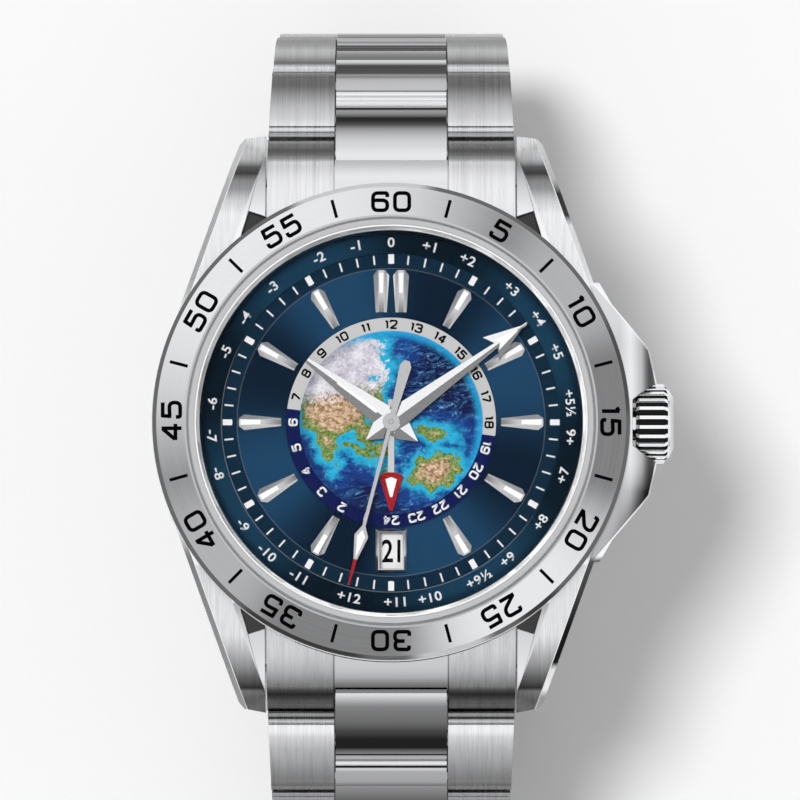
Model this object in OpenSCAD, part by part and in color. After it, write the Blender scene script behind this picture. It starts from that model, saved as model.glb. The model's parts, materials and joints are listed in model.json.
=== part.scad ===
// Mechanical wristwatch with a second time zone, on a folded steel bracelet.
// The dial faces +Z, 12 o'clock is +Y and the crown is +X.
// The origin is on the axis of the hands, on the outer face of the case back.

/* [Case] */
// Radius of the case band
case_r = 20.9; // [20.5:0.1:21.5]
// Width between the lugs
lug_gap = 22; // [21:0.1:22.4]
// Reach of the lug tips beyond the case band
lug_len = 4.45; // [4:0.05:4.8]
// Lean of the lug flanks from straight ahead, in degrees
lug_lean = 19.8; // [18:0.1:21]
// Radius that rounds the lugs down to their tips
lug_round_r = 7; // [6.5:0.1:8]
// Polished chamfer along the lug flanks
lug_chamfer = 0.45; // [0.2:0.05:0.6]
// Height of the top of the case band
case_top = 8.4; // [8.2:0.05:8.6]
// Bore of the case that takes the movement
case_bore_r = 15.3; // [15.2:0.05:15.6]
// Thickness of the flange of the case back
back_t = 1.2; // [1.1:0.05:1.3]
// Radius of the case back
back_r = 17.8; // [17:0.1:18.4]
// Radius of the sapphire window in the case back
back_window_r = 12.4; // [11.5:0.1:13]

/* [Bezel and crystal] */
// Outer radius of the bezel
bezel_r = 20.8; // [20.2:0.1:21.2]
// Inner radius of the bezel at its top
bezel_in_r = 17.68; // [17.6:0.01:17.9]
// Height of the bezel's top face
bezel_top = 10.95; // [10.8:0.05:11.2]
// Radius of the crystal
crystal_r = 16.95; // [16.85:0.01:17]
// Thickness of the crystal
crystal_t = 1.6; // [1.3:0.05:2]
// Wall of the crystal gasket
gasket_t = 0.15; // [0.1:0.01:0.2]

/* [Dial] */
// Radius of the dial plate
dial_r = 16.6; // [16.4:0.02:16.64]
// Thickness of the dial plate
dial_t = 0.4; // [0.3:0.05:0.5]
// Underside height of the dial plate
dial_z = 7.4; // [7.3:0.05:7.5]
// Inner radius of the sloping chapter ring
chapter_in_r = 14.8; // [14.4:0.1:15]
// Radius of the globe disc
globe_r = 8; // [7:0.1:8.6]
// Inner end of the hour bars
marker_in = 9.6; // [9.2:0.1:10]
// Outer end of the hour bars
marker_out = 13.3; // [12.8:0.1:13.6]
// Width of the hour bars at their outer end
marker_w = 1.4; // [1:0.05:1.8]
// Width of the date opening
date_w = 2.04; // [1.6:0.02:2.4]
// Height of the date opening
date_h = 3.13; // [2.4:0.01:3.3]
// Distance of the date opening's middle from the centre
date_at = 11.23; // [11:0.01:11.4]

/* [Hands] */
// Length of the hour hand
hour_len = 9.1; // [8:0.1:9.5]
// Length of the minute hand
minute_len = 14.7; // [13:0.1:14.7]
// Length of the seconds hand
seconds_len = 14.7; // [13:0.1:14.7]
// Length of the 24 hour hand
gmt_len = 7.75; // [7:0.05:8.2]
// Angle of the hour hand, clockwise from 12
hour_angle = 306.3; // [0:0.1:360]
// Angle of the minute hand, clockwise from 12
minute_angle = 53.9; // [0:0.1:360]
// Angle of the seconds hand, clockwise from 12
seconds_angle = 194.6; // [0:0.1:360]
// Angle of the 24 hour hand, clockwise from 12
gmt_angle = 180; // [0:0.1:360]

/* [Crown] */
// Radius of the crown over its flutes
crown_r = 3.5; // [3:0.05:3.6]
// Length of the crown
crown_len = 3.35; // [3:0.05:3.8]
// Number of flutes on the crown
crown_flutes = 26; // [18:1:30]
// Height of the crown's axis
crown_z = 4.6; // [4.5:0.05:4.7]
// Outer radius of the crown tube
tube_r = 1.45; // [1.3:0.05:1.6]

/* [Bracelet] */
// Width of the bracelet at the clasp
strap_w1 = 18; // [17:0.1:20]
// Width of the centre links
centre_w = 9.8; // [9:0.1:10.4]
// Thickness of the links
link_t = 3; // [2.8:0.05:3.1]
// Spacing of the hinge pins
pitch = 9; // [8.8:0.1:9.2]
// Spacing of the first two hinge pins
first_pitch = 7.3; // [7:0.1:7.6]
// Radius of the curved top of a link
link_curve = 10; // [9:0.5:14]
// Radius of the hinge pins
link_pin_r = 0.5; // [0.4:0.05:0.7]
// Thickness of the clasp blades
blade_t = 0.8; // [0.7:0.05:0.85]
// Width of the clasp blades
blade_w = 13; // [11:0.5:14]

/* [Movement] */
// Radius of the main plate
plate_r = 13.4; // [13.2:0.05:13.5]
// Thickness of the bridges
bridge_t = 0.8; // [0.7:0.05:0.85]
// Radius of the rotor
rotor_r = 12.6; // [11.5:0.1:12.9]
// Teeth of the barrel
barrel_teeth = 84; // [84:1:84]
// Teeth of the centre wheel
centre_teeth = 64; // [64:1:64]
// Teeth of the third wheel
third_teeth = 60; // [60:1:60]
// Teeth of the fourth wheel
fourth_teeth = 84; // [84:1:84]
// Radius of the balance wheel
balance_r = 4.1; // [3.6:0.05:4.1]
// Turns of the mainspring
spring_turns = 7; // [5:1:9]

/* [Fits] */
// Running clearance on shafts and pins
run_gap = 0.05; // [0.03:0.01:0.08]
// Clearance between link faces
face_gap = 0.1; // [0.08:0.01:0.15]
// Clearance of pins that stay fixed in their holes
pin_gap = 0.02; // [0.01:0.01:0.03]

/* [Hidden] */
$fn = 64;

steel = "silver";
brushed = [0.68, 0.68, 0.7];
gilt = [0.85, 0.68, 0.35];
ruby = [0.75, 0.1, 0.25];
navy = [0.07, 0.16, 0.28];

// Spring bars between the lugs
bar_y = case_r + 0.5;
bar_z = 1.75;
bar_r = 0.65;

// Heights inside the case
neck_z = 9.85;
neck_r = 18.25;
rim_r = bezel_in_r - 0.08;
seat_r = crystal_r + gasket_t;
seat_z = 9.7;
gasket_base = 0.12;
flange_r = crystal_r - 0.25;
dial_top = dial_z + dial_t;
bridge_z = 2.8;
train_z = bridge_z + bridge_t;
plate_z = 5.5;
plate_top = 6.3;
rim_in_r = plate_r - 1.1;

// Lug frame: its x runs square to the flank, its y along the flank
flank_r = case_r - 0.1;
lug_reach = case_r + lug_len;
lug_tip = lug_reach * cos(lug_lean) - lug_gap / 2 * sin(lug_lean);
lug_round_y = lug_tip - lug_round_r * 0.886;
lug_round_z = case_top - lug_round_r;
lug_under = 0.6;
step_x = lug_gap / 2 + 2;
step_y = case_r - 4.3;
function flank_x(y) = flank_r / cos(lug_lean) - y * tan(lug_lean);

// Places of the wheels, seen from the dial side
function at(r, a) = [r * cos(a), r * sin(a)];
barrel_mod = 0.13;
train_mod = 0.12;
centre_pinion = 12;
train_pinion = 8;
escape_pinion = 7;
barrel_pitch_r = barrel_teeth * barrel_mod / 2;
barrel_c = at((barrel_teeth + centre_pinion) * barrel_mod / 2, 60);
train_arm = (centre_teeth + train_pinion) * train_mod / 2;
third_mod = 2 * train_arm / (third_teeth + train_pinion);
third_c = at(train_arm, 190);
escape_mod = 0.08;
escape_c = at((fourth_teeth + escape_pinion) * escape_mod / 2, 270);
balance_c = [-4.6, -6.6];
to_balance = (balance_c - escape_c) / norm(balance_c - escape_c);
pallet_c = escape_c + 2.55 * to_balance;
keyless_mod = 0.16;
ratchet_teeth = 58;
crown_wheel_teeth = 29;
crown_wheel_r = crown_wheel_teeth * keyless_mod / 2;
keyless_arm = (ratchet_teeth + crown_wheel_teeth) * keyless_mod / 2;
crown_wheel_c = [barrel_c[0] + sqrt(pow(keyless_arm, 2) - pow(barrel_c[1], 2)), 0];
keyless_a = atan2(-barrel_c[1], crown_wheel_c[0] - barrel_c[0]);
motion_mod = 0.12;
motion_arm = 20 * motion_mod;
minute_c = at(motion_arm, 120);

// Hinge pins of the bracelet, each [y, z], from the case to the clasp
pin_y = case_r + 2.95;
pin_z = 2.8;
slopes_12 = [30, 64, 85, 112, 142];
slopes_6 = [18, 48, 78, 106, 135, 162];
function row_len(k) = k == 0 ? first_pitch : pitch;
function hinge(slopes, k) = k == 0 ? [pin_y, pin_z]
  : hinge(slopes, k - 1) + row_len(k - 1) * [cos(slopes[k - 1]), -sin(slopes[k - 1])];
clasp_12 = hinge(slopes_12, len(slopes_12));
clasp_6 = hinge(slopes_6, len(slopes_6));
knuckle_r = link_t / 2;
rows = 6;
// Width of the bracelet at the case
strap_w0 = lug_gap - 2 * face_gap;
function strap_w(k) = strap_w0 + (strap_w1 - strap_w0) * k / rows;

// Clasp levels: inner blade, middle blade and cover lie on each other
inner_z = clasp_12[1];
middle_z = inner_z - blade_t - 0.25;
blade_knuckle = 0.75;
fold_y = -15.5;
fold_z = (inner_z + middle_z) / 2;
lid_y = clasp_12[0] - knuckle_r - 1.1;
lid_z = middle_z - 0.2;
cover_top = lid_z - blade_knuckle - face_gap;
cover_t = 1;
cover_end = lid_y + 0.9;

module ring(r_out, r_in, z0, z1) {
  translate([0, 0, z0]) difference() {
    cylinder(h = z1 - z0, r = r_out);
    translate([0, 0, -1]) cylinder(h = z1 - z0 + 2, r = r_in);
  }
}

module disc(r, z0, z1, c = [0, 0]) {
  translate([c[0], c[1], z0]) cylinder(h = z1 - z0, r = r);
}

// A rod along X
module rod_x(r, x0, x1, z = 0) {
  translate([x0, 0, z]) rotate([0, 90, 0]) cylinder(h = x1 - x0, r = r);
}

// A prism along X of an outline drawn in [y, z]
module side_prism(w) {
  translate([-w / 2, 0, 0]) rotate([90, 0, 90]) linear_extrude(w) children();
}

module lug_plan() {
  polygon([at(flank_r, lug_lean), [flank_x(lug_reach - 0.9), lug_reach - 0.9],
    [flank_x(lug_reach - 0.9) - 0.45, lug_reach - 0.35], [lug_gap / 2, lug_reach],
    [lug_gap / 2, 8], [15, 0], [flank_r - 0.4, 2]]);
}

// Body that shapes a lug: chamfered flank, top rounded down to the tip, lowered by drop
module lug_body(drop) {
  top = case_top - drop;
  r = lug_round_r - drop;
  rotate([0, 0, lug_lean]) union() {
    rotate([90, 0, 180]) mirror([1, 0, 0]) translate([0, 0, -10])
      linear_extrude(lug_round_y + 10)
        polygon([[0, lug_under - 1], [flank_r, lug_under - 1], [flank_r, top - lug_chamfer],
          [flank_r - lug_chamfer, top], [0, top]]);
    translate([0, lug_round_y, lug_round_z]) rotate([0, 90, 0]) union() {
      cylinder(h = flank_r - lug_chamfer, r = r);
      translate([0, 0, flank_r - lug_chamfer]) cylinder(h = lug_chamfer, r1 = r, r2 = r - lug_chamfer);
    }
  }
}

// One lug, at the upper right
module lug() {
  difference() {
    intersection() {
      translate([0, 0, lug_under]) linear_extrude(case_top - lug_under) lug_plan();
      lug_body(0);
    }
    // Polished step along the inner edge
    difference() {
      translate([0, 0, lug_under + 0.4]) linear_extrude(case_top)
        polygon([[lug_gap / 2 - 1, step_y - 2.6], [step_x + 0.5, step_y - 2.6], [step_x, step_y],
          [lug_gap / 2, lug_reach - 1.2], [lug_gap / 2 - 1, lug_reach - 1.2]]);
      lug_body(0.45);
    }
    // Pocket next to the bezel
    translate([0, 0, case_top - 2.2]) linear_extrude(3)
      polygon([[lug_gap / 2 - 1, step_y - 2.7], [step_x + 0.6, step_y - 2.7], [step_x + 0.05, step_y],
        [step_x - 0.55, step_y + 1.9], [lug_gap / 2 - 1, step_y + 1.1]]);
  }
}

module guard_plan() {
  for (s = [0, 1]) mirror([0, s]) translate([case_r - 20.9, 0]) polygon([[14, -1], [14, 12.2],
    [18.2, 12.2], [19.3, 10.3], [22, 7.15], [22.6, 6.4], [23.3, 3.4], [23.3, -1]]);
}

// Both crown guards, rounded over and hollowed around the crown
module guards() {
  difference() {
    intersection() {
      linear_extrude(case_top) guard_plan();
      rotate([90, 0, 0]) translate([0, 0, -15]) linear_extrude(30) intersection() {
        translate([case_r - 20.9, 0])
          polygon([[14, 1.9], [21.6, 1.4], [23.4, 2.8], [23.4, 8.3], [14, 8.3]]);
        translate([case_r - 3.5, 0.85]) circle(r = 7.88);
      }
    }
    rod_x(crown_r + 0.25, case_r + 0.2, case_r + 10, crown_z);
  }
}

module case_middle() {
  color(brushed) difference() {
    union() {
      translate([0, 0, back_t]) cylinder(h = 1.1, r1 = case_r - 1.2, r2 = case_r);
      disc(case_r, back_t + 1.1, case_top);
      for (m = [0, 1]) mirror([m, 0, 0]) for (n = [0, 1]) mirror([0, n, 0]) lug();
      guards();
      disc(neck_r, case_top - 1, neck_z);
      disc(rim_r, neck_z - 1, bezel_top);
    }
    disc(case_bore_r, 0, dial_z);
    disc(back_r + 0.05, -1, back_t);
    disc(flange_r, dial_z, seat_z + 1);
    disc(seat_r, seat_z, bezel_top + 1);
    ring(neck_r + 1, neck_r - 0.35, 9.15, 9.55);
    rod_x(tube_r, case_bore_r - 2, 30, crown_z);
    // Room for the end links between the lugs
    for (n = [0, 1]) mirror([0, n, 0]) difference() {
      translate([-lug_gap / 2, case_r - 3.4, 0]) cube([lug_gap, 10, case_top]);
      disc(case_r, -1, case_top + 1);
    }
    // Holes for the spring bars
    for (n = [0, 1]) mirror([0, n, 0]) translate([0, bar_y, bar_z])
      rod_x(0.45, -lug_gap / 2 - 1.2, lug_gap / 2 + 1.2);
  }
}

module crystal() {
  color([0.9, 0.95, 1, 0.3]) translate([0, 0, seat_z + gasket_base]) union() {
    cylinder(h = crystal_t - 0.35, r = crystal_r);
    translate([0, 0, crystal_t - 0.35]) cylinder(h = 0.35, r1 = crystal_r, r2 = crystal_r - 0.35);
  }
}

module crystal_gasket() {
  color("white") difference() {
    ring(seat_r - 0.01, flange_r + 0.03, seat_z, bezel_top + 0.05);
    disc(crystal_r + 0.01, seat_z + gasket_base, bezel_top + 1);
  }
}

module case_back() {
  color(brushed) difference() {
    union() {
      cylinder(h = 0.4, r1 = back_r - 0.4, r2 = back_r);
      disc(back_r, 0.4, back_t);
      disc(case_bore_r - run_gap, back_t, 2.6);
    }
    disc(back_window_r - 0.7, -1, 1);
    disc(back_window_r + 0.02, 0.35, 1.35);
    disc(plate_r, 1.35, 3);
    for (a = [0:60:300]) rotate([0, 0, a]) translate([back_r - 1.4, -1.2, -0.1]) cube([2, 2.4, 0.7]);
  }
}

module back_window() {
  color([0.9, 0.95, 1, 0.3]) disc(back_window_r, 0.35, 1.35);
}

module crown_tube() {
  color(steel) difference() {
    rod_x(tube_r, case_bore_r + 0.1, case_r + 1.4, crown_z);
    rod_x(0.8, case_bore_r - 1, case_r + 2.1, crown_z);
  }
}

module movement_ring() {
  color("gray") difference() {
    ring(case_bore_r - run_gap, plate_r + run_gap, 2.65, dial_z - 0.05);
    rod_x(1, plate_r - 1, 16, crown_z);
  }
}

module spring_bars() {
  color(steel) for (n = [0, 1]) mirror([0, n, 0]) translate([0, bar_y, bar_z]) union() {
    rod_x(bar_r, -lug_gap / 2 + 0.3, lug_gap / 2 - 0.3);
    rod_x(0.4, -lug_gap / 2 - 1, lug_gap / 2 + 1);
  }
}

// Outline of one link, [s, t]: s runs from its hinge pin to the next, t is the outer side.
// round_at is the pin that its knuckle turns on, face_at the pin that its other end clears.
// Its top is curved, and two low ridges lie between it and its neighbour's knuckle.
module link_outline(l, knuckle_first, lip_at = 1.1) {
  clear_r = knuckle_r + face_gap;
  round_at = knuckle_first ? 0 : l;
  face_at = knuckle_first ? l : 0;
  dir = knuckle_first ? -1 : 1;
  shoulder = face_at + dir * 2.3;
  lip = face_at + dir * lip_at;
  body_a = min(round_at, shoulder);
  body_b = max(round_at, shoulder);
  top_at = (l - 2.3) * 0.44;
  curve_t = -0.05 - sqrt(pow(link_curve - knuckle_r + 0.12, 2) - pow(top_at, 2));
  difference() {
    union() {
      intersection() {
        translate([body_a, -link_t / 2]) square([body_b - body_a, link_t + 1]);
        translate([round_at - dir * top_at, curve_t]) circle(r = link_curve);
      }
      translate([round_at, 0]) circle(r = knuckle_r - 0.12);
      translate([min(lip, shoulder), -link_t / 2]) square([abs(shoulder - lip), link_t - 0.55]);
      for (d = [1.42, 1.98]) if (d > lip_at + 0.2)
        translate([face_at + dir * d, link_t / 2 - 0.52]) circle(r = 0.27);
    }
    translate([face_at, 0]) circle(r = clear_r);
  }
}

// The outer pair and the centre link of one row, lying along +Y from its pin at the origin
module link_row(l, w0, w1, last_pin = true) {
  edge = centre_w / 2 + face_gap;
  pin_end = w1 / 2 - 0.6;
  hole_r = link_pin_r + pin_gap;
  color(steel) difference() {
    // The last centre link ends short, because the cover's hinge leaves it sideways
    side_prism(centre_w) link_outline(l, true, last_pin ? 1.1 : 1.75);
    rod_x(link_pin_r + run_gap, -strap_w0, strap_w0);
    translate([0, l / 2, 0]) rod_x(hole_r, -strap_w0, strap_w0);
  }
  color(brushed) for (m = [0, 1]) mirror([m, 0, 0]) difference() {
    intersection() {
      side_prism(strap_w0 + 2) link_outline(l, false);
      translate([0, 0, -5]) linear_extrude(10)
        polygon([[edge, -3], [w0 / 2, -3], [w0 / 2, 0], [w1 / 2, l], [w1 / 2, l + 3], [edge, l + 3]]);
    }
    translate([0, l, 0]) rod_x(hole_r, 0, pin_end + 0.05);
    translate([0, l / 2, 0]) rod_x(hole_r, 0, pin_end + 0.05);
  }
  color(steel) translate([0, l / 2, 0]) rod_x(link_pin_r, -pin_end, pin_end);
  if (last_pin) color(steel) translate([0, l, 0]) rod_x(link_pin_r, -pin_end, pin_end);
}

// Puts a row drawn along +Y at its place on the 12 o'clock side
module on_12(slopes, k) {
  p = hinge(slopes, k);
  translate([0, p[0], p[1]]) rotate([-slopes[k], 0, 0]) children();
}

module link_12(k) {
  on_12(slopes_12, k) link_row(row_len(k), strap_w(k), strap_w(k + 1));
}

module link_6(k) {
  mirror([0, 1, 0]) on_12(slopes_6, k)
    link_row(row_len(k), strap_w(k), strap_w(k + 1), k < len(slopes_6) - 1);
}

// Curve of the end link's top, in [y, z]
module end_curve(r = 7.5) {
  translate([case_r - 2.9, 0.35]) circle(r = r);
}

// End link between the lugs, drawn for the 12 o'clock side
module end_link() {
  edge = centre_w / 2 + face_gap;
  back = case_r - 3.9;
  pin_end = strap_w0 / 2 - 0.6;
  color(brushed) difference() {
    union() {
      // Outer parts reach out to the hinge pin
      for (m = [0, 1]) mirror([m, 0, 0]) intersection() {
        translate([-0.01 + edge, 0, -2]) cube([strap_w0 / 2 - edge, 40, 12]);
        side_prism(strap_w0) union() {
          intersection() {
            polygon([[back, lug_under], [pin_y - 1, lug_under], [pin_y + 0.9, 2.1], [pin_y + 1, 6],
              [back, 9]]);
            end_curve();
          }
          translate([pin_y, pin_z]) circle(r = knuckle_r - 0.12);
        }
      }
      // The middle stops over the knuckle of the first centre link
      side_prism(2 * edge + 0.02) difference() {
        intersection() {
          polygon([[back, lug_under], [pin_y - 1.5, lug_under], [pin_y - 0.7, 4], [pin_y - 0.7, 9],
            [back, 9]]);
          end_curve();
        }
        translate([pin_y, pin_z]) circle(r = knuckle_r + face_gap);
      }
    }
    disc(case_r + 0.05, -3, 12);
    translate([0, bar_y, bar_z]) rod_x(bar_r + run_gap, -20, 20);
    translate([0, pin_y, pin_z]) rod_x(link_pin_r + pin_gap, -pin_end - 0.05, pin_end + 0.05);
    // Fine grooves between the middle and the outer parts
    for (m = [0, 1]) mirror([m, 0, 0]) translate([edge - 0.05, 0, 0]) rotate([90, 0, 90])
      linear_extrude(0.1) difference() {
        end_curve(9);
        end_curve(7.2);
      }
  }
  color(steel) translate([0, pin_y, pin_z]) rod_x(link_pin_r, -pin_end, pin_end);
}

module end_link_12() { end_link(); }
module end_link_6() { mirror([0, 1, 0]) end_link(); }

module clasp_inner_blade() {
  color(steel) difference() {
    union() {
      translate([0, clasp_12[0], clasp_12[1]]) rod_x(knuckle_r - 0.12, -centre_w / 2, centre_w / 2);
      translate([-centre_w / 2, clasp_12[0] - knuckle_r - 1, inner_z - blade_t / 2])
        cube([centre_w, knuckle_r + 1, blade_t]);
      translate([-blade_w / 2, fold_y, inner_z - blade_t / 2])
        cube([blade_w, clasp_12[0] - knuckle_r - 0.4 - fold_y, blade_t]);
      translate([0, fold_y, fold_z]) rod_x(blade_knuckle, -blade_w / 2, blade_w / 2);
    }
    translate([0, clasp_12[0], clasp_12[1]]) rod_x(link_pin_r + run_gap, -20, 20);
    translate([-3, fold_y - 2, inner_z - 3]) cube([6, 3.2, 6]);
    translate([0, fold_y, fold_z]) rod_x(0.35 + pin_gap, -20, 20);
    // Slot that lightens the blade
    translate([-2.5, fold_y + 5, inner_z - 2]) cube([5, 16, 4]);
  }
  color("gray") translate([0, fold_y, fold_z]) rod_x(0.35, -blade_w / 2, blade_w / 2);
}

module clasp_middle_blade() {
  color(steel) difference() {
    union() {
      translate([-blade_w / 2, fold_y + 1, middle_z - blade_t / 2])
        cube([blade_w, lid_y - 1 - fold_y - 1, blade_t]);
      translate([-2.9, fold_y, middle_z - blade_t / 2]) cube([5.8, lid_y - fold_y, blade_t]);
      translate([0, fold_y, fold_z]) rod_x(blade_knuckle, -2.9, 2.9);
      translate([0, lid_y, lid_z]) rod_x(blade_knuckle, -2.9, 2.9);
    }
    translate([0, fold_y, fold_z]) rod_x(0.35 + run_gap, -20, 20);
    translate([0, lid_y, lid_z]) rod_x(0.35 + run_gap, -20, 20);
    translate([-2.5, fold_y + 5, middle_z - 2]) cube([5, 16, 4]);
  }
}

module clasp_cover() {
  w = strap_w1;
  wall = 0.6;
  tongue = clasp_6[0] * -1;
  plate_end = tongue + knuckle_r + 0.3;
  floor_z = cover_top - cover_t;
  color(brushed) difference() {
    union() {
      translate([-w / 2, plate_end, floor_z]) cube([w, cover_end - plate_end, cover_t]);
      for (m = [0, 1]) mirror([m, 0, 0]) translate([w / 2 - wall, plate_end, floor_z])
        cube([wall, cover_end - plate_end, inner_z - floor_z]);
      translate([-centre_w / 2, tongue, floor_z]) cube([centre_w, knuckle_r + 1, cover_t + 0.8]);
      translate([0, tongue, clasp_6[1]]) rod_x(knuckle_r - 0.12, -centre_w / 2, centre_w / 2);
      for (m = [0, 1]) mirror([m, 0, 0]) translate([3, 0, 0]) {
        translate([0, lid_y, lid_z]) rod_x(blade_knuckle, 0, 3.5);
        translate([0, lid_y - blade_knuckle, cover_top - 0.5])
          cube([3.5, 2 * blade_knuckle, lid_z - cover_top + 0.5]);
      }
    }
    translate([0, lid_y, lid_z]) rod_x(0.35 + pin_gap, -8, 8);
    translate([0, tongue, clasp_6[1]]) rod_x(link_pin_r, -20, 20);
  }
  color("gray") translate([0, lid_y, lid_z]) rod_x(0.35, -6.5, 6.5);
}

module bezel_wire() {
  color(steel) difference() {
    ring(neck_r + 0.35, neck_r - 0.3, 9.2, 9.5);
    translate([-0.6, neck_r - 3, neck_z - 2]) cube([1.2, 6, 3]);
  }
}

module bezel() {
  z0 = case_top + 0.1;
  color(steel) rotate_extrude() difference() {
    polygon([[neck_r + 0.08, z0], [bezel_r - 0.3, z0], [bezel_r, z0 + 0.3], [bezel_r, bezel_top - 0.85],
      [bezel_r - 0.35, bezel_top - 0.45], [bezel_in_r + 0.3, bezel_top], [bezel_in_r, bezel_top - 0.2],
      [bezel_in_r, neck_z + 0.08], [neck_r + 0.08, neck_z + 0.08]]);
    translate([neck_r, 9.15]) square([0.4, 0.4]);
  }
}

module dial() {
  color(navy) difference() {
    disc(dial_r, dial_z, dial_top);
    disc(1.1, 0, 20);
    translate([-date_w / 2, -date_at - date_h / 2, 0]) cube([date_w, date_h, 20]);
  }
}

module chapter_ring() {
  wall = flange_r - 0.2;
  color(navy) rotate_extrude() polygon([[chapter_in_r, dial_top], [chapter_in_r, dial_top + 0.25],
    [wall, dial_top + 0.9], [wall, seat_z - 0.05], [flange_r - 0.05, seat_z - 0.05],
    [flange_r - 0.05, dial_top]]);
}

module globe_disc() {
  color([0.1, 0.35, 0.6]) difference() {
    disc(globe_r, dial_top, dial_top + 0.12);
    disc(1.1, 0, 20);
  }
}

// Roof-shaped bar along +Y
module roof(w, h_edge, h_top, flat, y0, y1) {
  translate([0, y1, 0]) rotate([90, 0, 0]) linear_extrude(y1 - y0)
    polygon([[-w / 2, 0], [w / 2, 0], [w / 2, h_edge], [flat / 2, h_top], [-flat / 2, h_top],
      [-w / 2, h_edge]]);
}

module marker(w_in, w_out) {
  tip = marker_out - 0.45;
  intersection() {
    linear_extrude(1) polygon([[-w_in / 2, marker_in], [w_in / 2, marker_in], [w_out / 2, tip],
      [w_out / 4, marker_out], [-w_out / 4, marker_out], [-w_out / 2, tip]]);
    roof(marker_w + 0.02, 0.12, 0.5, marker_w * 0.32, marker_in - 1, marker_out + 1);
  }
}

module hour_markers() {
  color(steel) translate([0, 0, dial_top]) {
    for (h = [1:11]) if (h != 6) rotate([0, 0, -30 * h]) marker(marker_w * 0.5, marker_w);
    for (m = [0, 1]) mirror([m, 0, 0]) translate([marker_w * 0.62, 0, 0])
      marker(marker_w * 0.7, marker_w);
  }
}

module date_frame() {
  lip = 0.34;
  color(steel) translate([0, -date_at, dial_top]) difference() {
    hull() {
      translate([-date_w / 2 - lip, -date_h / 2 - lip, 0]) cube([date_w + 2 * lip, date_h + 2 * lip, 0.06]);
      translate([-date_w / 2 - 0.1, -date_h / 2 - 0.1, 0]) cube([date_w + 0.2, date_h + 0.2, 0.3]);
    }
    translate([-date_w / 2, -date_h / 2, -1]) cube([date_w, date_h, 3]);
  }
}

// Flat gear of n teeth with a bore, a tooth pointing along +X
module gear(n, m, h, bore_r, windows = 0) {
  r = n * m / 2;
  step = 360 / n;
  difference() {
    linear_extrude(h) difference() {
      polygon([for (i = [0:n - 1]) for (p = [[-0.26, -1.15], [-0.13, 0.85], [0.13, 0.85], [0.26, -1.15]])
        at(r + p[1] * m, (i + p[0]) * step)]);
      if (bore_r > 0) circle(r = bore_r);
    }
    if (windows > 0) for (i = [0:windows - 1]) rotate([0, 0, 360 / windows * i])
      translate([r * 0.53, 0, -1]) cylinder(h = h + 2, r = r * 0.24);
  }
}

module arbor(c, r, z0, z1) { disc(r, z0, z1, c); }

module pivots(c) { disc(0.1, bridge_z + 0.2, plate_top - 0.1, c); }

module put(c, z, turn = 0) { translate([c[0], c[1], z]) rotate([0, 0, turn]) children(); }

module barrel() {
  color(gilt) difference() {
    union() {
      disc(barrel_pitch_r - 0.3, 3.95, 5.15, barrel_c);
      put(barrel_c, 4.8, 240) gear(barrel_teeth, barrel_mod, 0.35, 0);
    }
    disc(barrel_pitch_r - 0.55, 4.1, 5, barrel_c);
    disc(0.9 + run_gap, 0, 8, barrel_c);
  }
}

module mainspring() {
  r0 = 1.2;
  r1 = barrel_pitch_r - 0.75;
  n = spring_turns * 14;
  color("steelblue") put(barrel_c, 4.15) linear_extrude(0.8)
    polygon(concat([for (i = [0:n]) at(r0 + (r1 - r0) * i / n, i * 360 / 14)],
      [for (i = [n:-1:0]) at(r0 + (r1 - r0) * i / n + 0.14, i * 360 / 14)]));
}

module ratchet_wheel() {
  color(steel) union() {
    put(barrel_c, bridge_z + 0.05, keyless_a) gear(ratchet_teeth, keyless_mod, 0.4, 0);
    disc(0.9, bridge_z + 0.4, 5.3, barrel_c);
    disc(0.5, 5.2, 6.1, barrel_c);
  }
}

module crown_wheel() {
  color(steel) union() {
    put(crown_wheel_c, bridge_z + 0.05, keyless_a) gear(crown_wheel_teeth, keyless_mod, 0.4, 0);
    disc(crown_wheel_r - 0.15, bridge_z + 0.4, crown_z - 0.85, crown_wheel_c);
  }
}

module centre_wheel() {
  color(gilt) difference() {
    union() {
      put([0, 0], 4.72, 60 + 180 / centre_pinion) gear(centre_pinion, barrel_mod, 0.48, 0);
      put([0, 0], 5.22, 190) gear(centre_teeth, train_mod, 0.15, 0, 5);
      disc(0.45, 4.72, 8.95);
      put([0, 0], 6.35, 120) gear(10, motion_mod, 0.22, 0);
    }
    disc(0.2 + run_gap, 0, 20);
  }
}

module third_wheel() {
  color(gilt) union() {
    put(third_c, 4.48, 10) gear(third_teeth, third_mod, 0.14, 0, 5);
    put(third_c, 4.66, 10 + 22.5) gear(train_pinion, train_mod, 0.76, 0);
    pivots(third_c);
  }
}

module fourth_wheel() {
  color(gilt) union() {
    put([0, 0], 3.7, 270) gear(fourth_teeth, escape_mod, 0.15, 0, 5);
    put([0, 0], 3.84, 190 + 22.5) gear(train_pinion, third_mod, 0.82, 0);
    disc(0.2, 3.2, 9.3);
  }
}

module escape_wheel() {
  n = 20;
  r = 2.1;
  color(steel) union() {
    put(escape_c, 4.68) linear_extrude(0.17) difference() {
      polygon([for (i = [0:n - 1]) for (p = [[0, r], [3, r], [7, r - 0.45], [15, r - 0.45]])
        at(p[1], i * 360 / n + p[0])]);
      for (i = [0:3]) rotate(90 * i + 45) translate([r * 0.45, 0]) circle(r = r * 0.2);
    }
    put(escape_c, 3.66, 90 + 180 / escape_pinion) gear(escape_pinion, escape_mod, 1.1, 0);
    pivots(escape_c);
  }
}

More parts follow.
